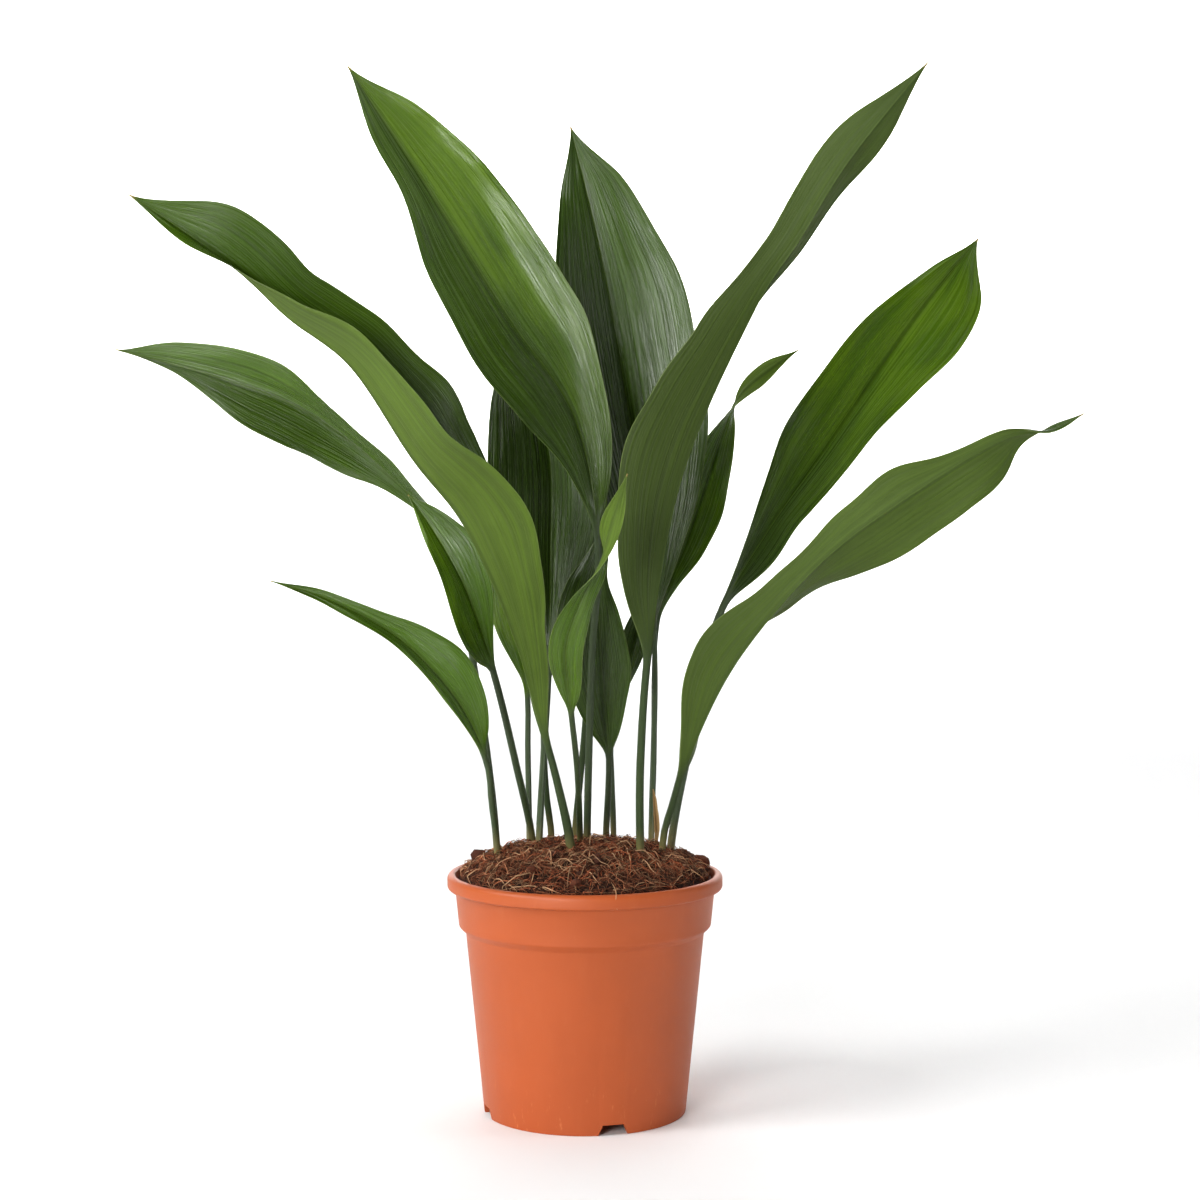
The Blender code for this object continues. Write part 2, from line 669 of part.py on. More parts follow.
def build_mulch(group, cutters, bores, material):
    """Mound turned from its profile, made lumpy, with fibres and clods joined to it."""
    rings = 7
    profile = [(MULCH_RADIUS * k / rings, mound(MULCH_RADIUS * k / rings)) for k in range(rings + 1)]
    profile.append((MULCH_FOOT_RADIUS, COLLAR_FOOT_Z + 1.6))
    profile.append((BODY_TOP_RADIUS - WALL - 1.0, BALL_TOP_Z - 2.0 + FIT))
    profile.append((0.0, BALL_TOP_Z - 2.0 + FIT))
    mulch = bake(turned_solid("coir_mulch", profile, group, 36))
    mulch.data.materials.append(material)
    shape = bmesh.new()
    shape.from_mesh(mulch.data)
    for vert in shape.verts:
        x, y, z = vert.co / MM
        if z > MULCH_EDGE_Z - 1.0:
            vert.co.z += lumps(x, y) * MM
    bmesh.ops.triangulate(shape, faces=shape.faces)
    shape.to_mesh(mulch.data)
    shape.free()
    picker = random.Random(17)
    cut(mulch, add_fibres(picker, cutters), "fibres", "UNION", tangled=True)
    cut(mulch, add_clods(picker, cutters), "clods", "UNION", tangled=True)
    bake(mulch)
    for bore in bores:
        cut(mulch, bore, f"hole for {bore.name}")
    return keep_largest(bake(mulch))


def main():
    clear_scene()
    plant = make_collection("potted_cast_iron_plant")
    cutters = make_collection("cutters")
    cutters.hide_render = True
    materials = {}
    for name, (colour, roughness) in COLOURS.items():
        materials[name] = make_material(name, colour, roughness)
    bores = [build_bore(f"bore_{name}", leaf, cutters) for name, leaf in LEAVES.items()]
    build_pot(plant, cutters, materials["pot"])
    build_root_ball(plant, bores, materials["root_ball"])
    build_mulch(plant, cutters, bores, materials["coir_mulch"])
    for name, leaf in LEAVES.items():
        if name == "dry_sheath":
            material = materials["dry_sheath"]
        else:
            colour, roughness = COLOURS["leaf"]
            material = make_material(name, colour, roughness)
        build_leaf(name, leaf, plant, material)
    for cutter in list(cutters.objects):
        bpy.data.objects.remove(cutter)


main()
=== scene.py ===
import math
import random

import bmesh
import bpy
from bpy.props import FloatProperty, FloatVectorProperty, IntProperty, PointerProperty
from mathutils import Matrix, Vector, noise


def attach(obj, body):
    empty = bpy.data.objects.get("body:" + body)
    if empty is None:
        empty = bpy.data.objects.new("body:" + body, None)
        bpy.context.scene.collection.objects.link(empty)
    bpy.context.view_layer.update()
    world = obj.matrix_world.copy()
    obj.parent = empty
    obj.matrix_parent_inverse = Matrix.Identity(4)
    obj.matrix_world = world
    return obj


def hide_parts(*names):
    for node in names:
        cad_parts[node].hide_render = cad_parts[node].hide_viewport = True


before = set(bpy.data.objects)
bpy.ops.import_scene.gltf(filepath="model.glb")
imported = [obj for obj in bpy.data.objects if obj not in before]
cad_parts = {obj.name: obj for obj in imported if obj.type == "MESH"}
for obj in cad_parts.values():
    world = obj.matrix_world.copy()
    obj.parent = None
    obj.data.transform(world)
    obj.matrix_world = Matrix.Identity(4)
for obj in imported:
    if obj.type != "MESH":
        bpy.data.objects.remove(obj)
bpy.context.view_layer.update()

bl_info = {
    "name": "Potted Cast Iron Plant",
    "version": (1, 0, 0),
    "blender": (4, 5, 0),
    "location": "View3D > Sidebar > Plant",
    "description": "Cast iron plant in a terracotta-coloured nursery pot with coir mulch",
    "category": "Add Mesh",
}

MM = 0.001

# Pot, in millimetres and degrees. The notches' angles run from the front towards +X, and the
# first drain hole is turned by DRAIN_START of the step between two.
POT_HEIGHT = 149.0
RIM_RADIUS = 85.3
RIM_DROP = 9.2
COLLAR_TOP_RADIUS = 80.4
COLLAR_FOOT_RADIUS = 78.3
COLLAR_FOOT_Z = 117.5
BODY_TOP_RADIUS = 73.9
BODY_TOP_Z = 113.0
BASE_RADIUS = 62.7
WALL = 1.6
FOOT_RING = 2.6
FLOOR_UNDER_Z = 8.0
FLOOR_TOP_Z = 10.0
NOTCH_ANGLES = (-74.0, 16.0, 106.0, 196.0)
NOTCH_FOOT_WIDTH = 20.0
NOTCH_TOP_WIDTH = 13.0
NOTCH_HEIGHT = 6.5
NOTCH_DEPTH = 16.0
DRAIN_COUNT = 6
DRAIN_RADIUS = 4.0
DRAIN_RING = 38.0
DRAIN_DEPTH = 9.0
DRAIN_START = 0.37
# Edges of the pot that are sharper than this aren't smoothed.
POT_CREASE = 38.0

# Mulch, in millimetres.
BALL_TOP_Z = 118.0
MULCH_EDGE_Z = 147.0
MULCH_RISE = 17.0
MULCH_RADIUS = 78.2
MULCH_FOOT_RADIUS = 76.3
MULCH_ROUGHNESS = 1.6
MULCH_CRUMBS = 1.3
MULCH_RINGS = 60
MULCH_STEPS = 160
CLOD_COUNT = 60
# Where the largest clods lie, as x, y and radius.
CLODS = ((-67, 30, 5.6), (-60, 37, 3.6), (72, 22, 5.0), (61, 30, 4.2), (66, 27, 3.2),
         (-20, -30, 3.4), (8, -44, 3.0), (36, -38, 3.2))

# Loose strands on the mulch. reach is a strand's length, curl how sharply it turns, lift how
# high its middle arches, width its thickness against the average fibre, and pale how much of
# it is straw-coloured: from, to, and the power that makes the palest ones rare.
STRAND_PARTS = 7
STRANDS = {
    "coir_fibres": dict(reach=(7, 30), curl=0.2, lift=(0, 2.4), width=(0.5, 1.3),
                        pale=(0.0, 0.5, 3)),
    "coir_fluff": dict(reach=(5, 18), curl=0.3, lift=(0, 3.2), width=(0.4, 0.9),
                       pale=(0.0, 0.6, 4)),
    "straw_fibres": dict(reach=(12, 40), curl=0.05, lift=(0.5, 4.0), width=(1.0, 2.1),
                         pale=(0.45, 1.0, 1)),
}
# The fibre that hangs over the rim: where it crosses, and its path as distances from the
# pot's axis and heights.
HANGING_PLACE = (19.0, -83.0)
HANGING_PATH = ((60, 155.5), (70, 154), (78, 152), (83, 150.2), (85.6, 147.5), (86, 145),
                (86.1, 142.6), (86, 141.375), (86.2, 140.5))

# Leaves, in millimetres and degrees. Each runs along its line from the foot in the soil to the
# tip, and blade is the length of its blade. left and right are half widths at even steps along
# the blade, and right is left out where it is the same. turn rotates the blade about its midrib
# and fold lifts its halves. stalk is the stalk's radius and slim the share that it loses on its
# way up. wave is the height of the margins' waves and waves their number, and bulge rounds the
# two halves. glow is how much painted yellow-green glow of light shining through, partly the
# leaf's own tone, lies on the left and right halves, and deep how much painted shade darkens
# them and the blade's foot. gleam lists the glossy (or, below 0, dull) patches of the face
# named by shown, 1 for the upper and -1 for the lower: middle across, place along, spread
# across, spread along, strength.
# Half a blade's thickness, where the stalks leave the soil, how far a blade's margins flutter
# and wander and its faces wrinkle, and the heights and widths of its keel and its groove.
BLADE_HALF = 0.35
STALK_FOOT_Z = 158.0
FLUTTER = 3.0
UNEVEN = 0.9
WRINKLE = 0.9
KEEL = 0.75
KEEL_WIDTH = 1.2
GROOVE = 0.30
GROOVE_WIDTH = 1.0
# Which way the fine relief tips the surface where a blade is glossiest and where it is dullest.
GLEAM = Vector((-0.19, -0.97, 0.10)).normalized()
SHADE = Vector((0.25, -0.90, 0.35)).normalized()
LEAVES = {
    "leaf_far_left_high": dict(
        line=[(-7, -12, 104), (-8, -13, 160), (-16, -24, 205), (-29, -40, 256), (-42, -54, 300),
              (-58, -70, 342), (-74, -80, 373), (-98.8, -92, 405), (-132.6, -103, 456.8),
              (-167.6, -108, 484.4), (-199.5, -113, 513.7), (-256, -120, 553)],
        blade=425, left=[14, 30, 42, 43, 36, 26, 13], right=[12, 26, 40, 46, 34, 28, 29],
        turn=[145, 130, 105, 78, 64, 43, 2], fold=[44, 46, 50, 52, 56, 49, 18],
        stalk=3.6, slim=0.4, wave=1.0, waves=3,
        shown=-1, gleam=[(-0.5, 0.70, 0.6, 0.2, 0.8)], glow=(0.2, 0.3), deep=(0.2, 0.5, 0.3)),
    "leaf_far_left_low": dict(
        line=[(-55, 30, 104), (-56, 29, 160), (-61, 23, 215), (-71, 17, 285), (-84, 12, 348),
              (-113, 8, 388), (-164, 8, 430), (-218, 12, 453), (-292, 20, 473)],
        blade=275, left=[3, 8, 19, 28, 25, 16, 4], right=[8, 18, 26, 28, 28, 22, 14],
        turn=[-30, -45, -42, -12, 0], fold=[25, 25, 22, 15, 10],
        stalk=2.3, wave=1.0, waves=3,
        gleam=[(-0.5, 0.55, 0.9, 0.5, -0.9)], glow=(0.35, 0.2), deep=(0.75, 0.4, 0.5)),
    "leaf_tall_left": dict(
        line=[(1, 24, 104), (1, 24, 160), (4, 6, 278), (8, -6, 352), (-6, -10, 430),
              (-45, -24, 489), (-92, -48, 564), (-137, -75, 632)],
        blade=325, left=[14, 31, 35, 32, 27, 16, 12], right=[14, 24, 39, 42, 40, 35, 22],
        turn=[10, 10, 5, 0, 0], fold=[20, 14, 10, 8],
        stalk=2.4, wave=1.5, waves=3, bulge=(0.1, -0.15),
        gleam=[(0.8, 0.45, 0.42, 0.38, 1.0), (0.95, 0.78, 0.3, 0.07, 0.9),
               (0.9, 0.90, 0.35, 0.05, 0.9), (0.45, 0.2, 0.35, 0.16, 0.7)],
        glow=(0.3, 1.0), deep=(0.6, 0.3, 0.8)),
    "leaf_centre_left": dict(
        line=[(-29, 10, 104), (-29, 11, 160), (-26, 20, 220), (-23, 34, 275),
              (-22, 42, 341), (-22, 41, 400), (-32, 38, 450), (-52, 36, 500)],
        blade=240, left=[13, 28, 40, 42, 40, 32, 17], right=[12, 24, 34, 38, 36, 28, 16],
        turn=[-10, -5, 0, 0], fold=[25, 20, 15, 10],
        stalk=2.3, wave=1.0, waves=2,
        gleam=[(0.6, 0.45, 0.45, 0.3, 0.8)], glow=(0.4, 0.05), deep=(1.0, 0.7, 0.9)),
    "leaf_tall_centre": dict(
        line=[(41, 43, 104), (42, 44, 160), (44, 52, 225), (44, 58, 293), (36, 60, 379),
              (22, 64, 469), (8, 78, 545), (-10, 100, 622)],
        blade=335, left=[16, 28, 37, 40, 39, 30, 16], right=[19, 38, 50, 51, 50, 38, 24],
        turn=[5, 8, 8, 8, 5], fold=[25, 20, 18, 12],
        stalk=1.9, wave=1.0, waves=3,
        gleam=[(0.75, 0.55, 0.42, 0.30, 1.0), (0.8, 0.80, 0.4, 0.10, 0.9),
               (0.6, 0.22, 0.4, 0.18, 0.8)],
        glow=(0.0, 0.15), deep=(0.75, 0.6, 0.9)),
    "leaf_tall_right": dict(
        line=[(34, -14, 104), (34, -15, 158), (34, -24, 222), (40, -33, 300),
              (59, -44, 398), (100, -57, 492), (126, -66, 533), (154, -80, 578),
              (196, -100, 630)],
        blade=400, left=[12, 22, 26, 26, 22, 20, 14], right=[22, 34, 36, 27, 18, 18, 14],
        turn=[215, 225, 225, 220, 205, 190], fold=[45, 45, 45, 38, 15],
        stalk=2.6, wave=1.2, waves=4,
        shown=-1, gleam=[(0.0, 0.40, 1.5, 0.36, -0.8)], glow=(0.1, 0.1), deep=(0.75, 0.85, 1.0)),
    "leaf_small_front": dict(
        line=[(-3, 12, 104), (-3, 10, 160), (-4.5, -18, 213), (-8.5, -48, 258), (-11, -72, 293),
              (-2, -84, 322), (10, -90, 345), (17, -94, 370), (25, -97, 396)],
        blade=165, left=[6, 10, 11, 10, 9, 9, 6], right=[8, 11, 11, 10, 9, 9, 6],
        turn=[-20, -10, 0, 30, 90, 150, 170], fold=[15, 10, 5],
        stalk=2.0, wave=0.5, waves=2, glow=(0.3, 0.3), deep=(0.0, 0.0, 0.1)),
    "leaf_low_centre": dict(
        line=[(13, 45, 104), (13, 46, 160), (15, 40, 214), (11, 32, 261), (9, 25, 300),
              (9, 22, 334), (12, 22, 367)],
        blade=154, left=[11, 19, 24, 27, 28, 21, 8], right=[9, 16, 20, 18, 13, 6, 5],
        turn=[0, 0, 0], fold=[20, 15],
        stalk=2.2, wave=0.8, waves=2, glow=(0.2, 0.5), deep=(0.8, 0.8, 0.7)),
    "leaf_back_right": dict(
        line=[(42, 55, 104), (42, 57, 160), (44, 74, 221), (47, 90, 299), (66, 103, 352),
              (80, 111, 392), (91, 118, 425), (101.9, 124, 446.9), (119.7, 130, 463.8),
              (142.5, 134, 478.7)],
        blade=215, left=[8, 16, 22, 18, 12, 9, 6], right=[7, 14, 18, 15, 12, 9, 7],
        turn=[20, 20, 15, 15, 60, 150, 190], fold=[20, 10, 5],
        stalk=1.7, wave=0.5, waves=2, glow=(0.1, 0.8), deep=(0.0, 0.0, 0.2)),
    "leaf_broad_right": dict(
        line=[(53, 20, 104), (54, 22, 162), (67, 40, 227), (83, 52, 299), (116, 68, 357),
              (162, 90, 419), (217, 115, 497), (262, 135, 553)],
        blade=310, left=[8, 19, 31, 33, 31, 24, 13], right=[15, 17, 21, 24, 31, 37, 29],
        turn=[0, -10, -10, -5, 0], fold=[25, 20, 10],
        stalk=2.6, wave=1.2, waves=3,
        gleam=[(0.6, 0.15, 1.0, 0.35, -0.8)], glow=(1.0, 1.0), deep=(0.25, 0.4, 1.0)),
    "leaf_low_right": dict(
        line=[(47, 4, 104), (48, 2, 164), (54, -5, 192), (64, -22, 226), (92, -45, 285),
              (138, -64, 342), (186, -74, 380), (242, -80, 415), (269, -82, 421),
              (291, -80, 431)],
        blade=350, left=[12, 18, 22, 24, 24, 28, 31, 30, 27, 22, 6.5],
        right=[8, 20, 26, 20, 15, 14, 17, 20, 11, 6, 6.5],
        turn=[225, 225, 222, 192, 185, 190, 340], fold=[45, 45, 40, 20, 12, 8],
        stalk=2.3, wave=1.5, waves=4, glow=(0.1, 0.1), deep=(0.55, 0.55, 0.7)),
    "leaf_small_left": dict(
        line=[(-54, -4, 104), (-54, -6, 160), (-57, -18, 195), (-60, -27, 222),
              (-76, -52, 261), (-107, -78, 299), (-146, -98, 323), (-179, -110, 335)],
        blade=190, left=[5, 8, 8, 7, 6, 5, 3], right=[10, 18, 22, 17, 9, 6, 4],
        turn=[20, 20, 10, 0], fold=[30, 20],
        stalk=2.2, wave=0.6, waves=2, gleam=[(0.5, 0.5, 0.6, 0.4, 0.8)],
        glow=(0.0, 0.0), deep=(0.0, 0.0, 0.0)),
    "leaf_mid_left": dict(
        line=[(-33, 30, 104), (-33, 29, 160), (-43, 5, 216), (-56, -15, 275), (-72, -22, 325),
              (-92, -18, 361), (-108, -12, 383)],
        blade=122, left=[17, 22, 21, 18, 15, 11, 6], right=[5, 10, 15, 18, 20, 16, 9],
        turn=[20, 20, 20], fold=[40, 35, 30],
        stalk=2.4, wave=0.6, waves=2, glow=(0.6, 0.1), deep=(0.0, 0.4, 0.3)),
    "leaf_young_left": dict(
        line=[(-36, 48, 104), (-36, 50, 160), (-36.5, 53, 191.2), (-37.1, 56, 221.2),
              (-37.3, 60, 250.4), (-41.5, 62, 289), (-50, 66, 324.2), (-59.1, 70, 353.1)],
        blade=106, left=[3, 9, 14, 16, 15, 11, 6], right=[3, 9, 13, 15, 14, 11, 6],
        turn=[0, 0, 0], fold=[20, 15],
        stalk=2.0, wave=0.4, waves=2, glow=(1.0, 1.0), deep=(0.0, 0.0, 0.0)),
    "leaf_young_right": dict(
        line=[(17, 58, 104), (18, 59, 160), (16.7, 62, 201.7), (16.1, 64, 220.2),
              (17.7, 66, 236.9), (22.2, 68, 256.2), (29.4, 70, 280.6), (35.8, 72, 302.6),
              (41.7, 74, 323.8)],
        blade=85, left=[3, 6, 8, 9, 9, 7, 4],
        turn=[0, 0, 0], fold=[20, 15],
        stalk=2.0, wave=0.4, waves=2, glow=(0.2, 0.4), deep=(0.6, 0.6, 0.6)),
    "leaf_back_left": dict(
        line=[(-22, 58, 104), (-22, 60, 160), (-24.9, 63, 184.1), (-26.4, 66, 200.9),
              (-27.1, 70, 219.5), (-27.6, 76, 237.8), (-31, 90, 290), (-35, 100, 330),
              (-43, 114, 400), (-54, 130, 458)],
        blade=200, left=[8, 16, 21, 22, 20, 16, 9],
        turn=[180, 180, 180], fold=[20, 12],
        stalk=2.2, wave=0.8, waves=2, glow=(0.3, 0.3), deep=(0.6, 0.6, 0.7)),
    "leaf_back_centre": dict(
        line=[(-7, 60, 104), (-7, 63, 160), (-1, 78, 225), (4, 94, 300), (4, 110, 380),
              (1, 124, 460), (-3, 136, 518)],
        blade=220, left=[8, 15, 20, 21, 20, 16, 9],
        turn=[180, 180, 180], fold=[20, 12],
        stalk=2.2, wave=0.8, waves=2, glow=(0.3, 0.3), deep=(0.6, 0.6, 0.7)),
    "dry_sheath": dict(
        line=[(45, 38, 104), (45, 38, 150), (45, 37, 175), (43, 36, 196)],
        blade=32, left=[2, 2.5, 2.5, 2.5, 2, 2, 1.5],
        turn=[20, 0, 10], fold=[40, 30],
        stalk=1.4, wave=0.0, waves=1),
}


# Stage, in metres and degrees: a floor that curves up into a backdrop, and the camera.
SWEEP_WIDTH = 12.0
SWEEP_FRONT = -4.0
SWEEP_BEND = 2.2
SWEEP_RADIUS = 1.6
SWEEP_PARTS = 16
SWEEP_TOP = 5.0
CAMERA_PLACE = (0.0093, -1.485, 0.398)
CAMERA_PITCH = 86.92
CAMERA_LENS = 72.3
CAMERA_SENSOR = 36.0
# Each light: the setting that holds its power, its size, its place, what it aims at, its spread.
CENTRE = (0.0, 0.0, 0.3)
LIGHTS = {
    "key_light": ("key", (1.4, 1.4), (-2.3, -1.1, 2.0), CENTRE, 180.0),
    "strip_light": ("strip", (1.1, 1.25), (-1.2, -2.75, 0.9), CENTRE, 180.0),
    "side_light": ("side", (0.5, 1.6), (1.8, -0.2, 1.0), CENTRE, 180.0),
    "top_light": ("top", (1.2, 0.8), (0.1, 1.0, 2.2), CENTRE, 180.0),
    "floor_light": ("far", (3.4, 2.6), (0.4, 0.9, 2.4), (0.4, 0.9, 0.0), 70.0),
    "back_light": ("back", (5.0, 0.8), (0.0, 1.6, 3.0), (0.0, 3.8, 1.2), 80.0),
}


# ---------------------------------------------------------------- settings


def colour_setting(name, description, default):
    """Setting that holds a colour."""
    return FloatVectorProperty(name=name, description=description, default=default,
                               subtype="COLOR", size=3, min=0.0, max=1.0)


def power_setting(name, description, default):
    """Setting that holds the power of a light."""
    return FloatProperty(name=name, description=description, default=default,
                         subtype="POWER", unit="POWER", min=0.0, max=900.0)


class PotSettings(bpy.types.PropertyGroup):
    colour: colour_setting("Plastic", "Colour of the moulded plastic", (0.44, 0.098, 0.024))
    faded: colour_setting("Faded plastic", "Colour where the plastic is scuffed or faded",
                          (0.62, 0.22, 0.090))
    steps: IntProperty(
        name="Steps", description="Steps that the pot is turned in", min=24, max=360, default=180)


class MulchSettings(bpy.types.PropertyGroup):
    fibres: IntProperty(
        name="Fibres", description="Number of coir fibres on the mulch",
        min=0, max=4000, default=2700)
    straws: IntProperty(
        name="Straws", description="Number of pale straw-like fibres",
        min=0, max=1000, default=230)
    thickness: FloatProperty(
        name="Fibre radius", description="Radius of an average coir fibre",
        subtype="DISTANCE", unit="LENGTH", min=0.00005, max=0.001, default=0.00020)
    # Where the soil shows between the fibres, this colour is darkened further as painted shade.
    dark: colour_setting("Dark fibre", "Colour of the darkest fibres and the soil between them",
                         (0.055, 0.020, 0.010))
    brown: colour_setting("Brown fibre", "Colour of most coir fibres", (0.30, 0.088, 0.038))
    straw: colour_setting("Straw", "Colour of the pale fibres", (0.74, 0.46, 0.26))


class LeafSettings(bpy.types.PropertyGroup):
    upper: colour_setting("Upper face", "Colour of a blade's upper face", (0.036, 0.076, 0.001))
    lower: colour_setting("Lower face", "Colour of a blade's lower face", (0.067, 0.112, 0.006))
    # The yellow-green is a painted glow of light shining through the blades, partly their own
    # colour.
    glow: colour_setting("Yellow-green", "Colour of the yellow-green patches",
                         (0.115, 0.200, 0.001))
    margin: colour_setting("Margin", "Colour of the thin line along a blade's edge",
                           (0.15, 0.20, 0.05))
    stalk: colour_setting("Stalk", "Colour of the stalks", (0.045, 0.070, 0.025))
    foot: colour_setting("Stalk foot", "Colour of the stalks where they leave the soil",
                         (0.30, 0.24, 0.09))
    dry: colour_setting("Dry sheath", "Colour of the dry leaf sheath", (0.46, 0.30, 0.13))
    sectors: IntProperty(
        name="Sectors", description="Faces round a leaf, a multiple of four",
        min=12, max=120, default=80)
    spacing: FloatProperty(
        name="Spacing", description="Distance between rings along a blade",
        subtype="DISTANCE", unit="LENGTH", min=0.001, max=0.02, default=0.0035)


class StageSettings(bpy.types.PropertyGroup):
    floor: colour_setting("Floor", "Colour of the floor and backdrop", (0.92, 0.92, 0.92))
    key: power_setting("Key light", "Power of the soft light high at the left", 56.0)
    strip: power_setting("Strip light", "Power of the tall light at the front left", 58.0)
    side: power_setting("Side light", "Power of the tall soft light at the right", 6.0)
    top: power_setting("Top light", "Power of the soft light overhead", 3.0)
    far: power_setting("Floor light", "Power of the wide light straight above the floor", 6.5)
    back: power_setting("Backdrop light", "Power of the light on the backdrop", 110.0)
    room: FloatProperty(
        name="Room", description="Strength of the white surroundings",
        min=0.0, max=3.0, default=0.12)


class PlantSettings(bpy.types.PropertyGroup):
    pot: PointerProperty(type=PotSettings, name="Pot", description="The nursery pot")
    mulch: PointerProperty(type=MulchSettings, name="Mulch", description="The coir mulch")
    leaf: PointerProperty(type=LeafSettings, name="Leaves", description="The leaves")
    stage: PointerProperty(type=StageSettings, name="Stage", description="Floor and lights")


# ---------------------------------------------------------------- material building


class Value:
    """A number, colour or vector on its way through a material, used in formulas."""

    def __init__(self, finish, socket):
        self.finish = finish
        self.socket = socket

    def maths(self, operation, *values):
        """A number worked out from numbers; colours go through Finish.mix instead."""
        sockets = dict(enumerate(values))
        return self.finish.node("ShaderNodeMath", {"operation": operation}, sockets)

    def __add__(self, other):
        return self.maths("ADD", self, other)

    __radd__ = __add__

    def __sub__(self, other):
        return self.maths("SUBTRACT", self, other)

    def __rsub__(self, other):
        return self.maths("SUBTRACT", other, self)

    def __mul__(self, other):
        return self.maths("MULTIPLY", self, other)

    __rmul__ = __mul__

    def __pow__(self, other):
        return self.maths("POWER", self, other)

    def __abs__(self):
        return self.maths("ABSOLUTE", self)

    def sine(self):
        return self.maths("SINE", self)

    def rise(self, low, high):
        """0 below low, 1 above high and smooth between, or the other way round."""
        settings = {"interpolation_type": "SMOOTHSTEP"}
        first, last = (0.0, 1.0) if low < high else (1.0, 0.0)
        sockets = {0: self, 1: min(low, high), 2: max(low, high), 3: first, 4: last}
        return self.finish.node("ShaderNodeMapRange", settings, sockets)


def shade_of(colour, share):
    """The colour made darker or lighter by a share."""
    return [part * share for part in colour]


class Finish:
    """A procedural material round one Principled shader."""

    def __init__(self, name):
        self.material = bpy.data.materials.new(name)
        self.material.use_nodes = True
        self.tree = self.material.node_tree
        self.shader = self.tree.nodes["Principled BSDF"]

    def node(self, kind, settings, sockets, output=0):
        """Adds a node with its settings, fills or links its sockets, and gives an output."""
        made = self.tree.nodes.new(kind)
        for key, setting in settings.items():
            setattr(made, key, setting)
        for place, value in sockets.items():
            self.feed(made.inputs[place], value)
        return Value(self, made.outputs[output])

    def feed(self, socket, value):
        if isinstance(value, Value):
            self.tree.links.new(value.socket, socket)
        elif socket.type == "RGBA":
            socket.default_value = (*tuple(value)[:3], 1.0)
        else:
            socket.default_value = value

    def set(self, **sockets):
        """Feeds the shader's own sockets, named with _ for each space."""
        for name, value in sockets.items():
            self.feed(self.shader.inputs[name.replace("_", " ")], value)
        return self.material

    def attribute(self, name):
        return self.node("ShaderNodeAttribute", {"attribute_name": name}, {}, "Vector")

    def place(self):
        """Position in the piece's own coordinates, in metres."""
        return self.node("ShaderNodeTexCoord", {}, {}, "Object")

    def split(self, vector):
        parts = self.node("ShaderNodeSeparateXYZ", {}, {0: vector})
        return [Value(self, socket) for socket in parts.socket.node.outputs]

    def join(self, x, y, z):
        return self.node("ShaderNodeCombineXYZ", {}, {0: x, 1: y, 2: z})

    def stretch(self, vector, x, y, z):
        """The vector with its three parts multiplied by x, y and z."""
        sockets = {"Vector": vector, "Scale": (1 / x, 1 / y, 1 / z)}
        return self.node("ShaderNodeMapping", {"vector_type": "TEXTURE"}, sockets)

    def noise(self, vector, scale, detail=2.0, roughness=0.5):
        sockets = {"Vector": vector, "Scale": scale, "Detail": detail, "Roughness": roughness}
        return self.node("ShaderNodeTexNoise", {}, sockets)

    def mix(self, share, first, second):
        """Colour that goes from the first to the second as share goes from 0 to 1."""
        sockets = {0: share, 6: first, 7: second}
        return self.node("ShaderNodeMix", {"data_type": "RGBA"}, sockets, 2)

    def add(self, first, second):
        return self.node("ShaderNodeVectorMath", {"operation": "ADD"}, {0: first, 1: second})

    def unit(self, vector):
        return self.node("ShaderNodeVectorMath", {"operation": "NORMALIZE"}, {0: vector})

    def bump(self, height, strength, distance):
        sockets = {"Height": height, "Strength": strength, "Distance": distance}
        return self.node("ShaderNodeBump", {}, sockets)


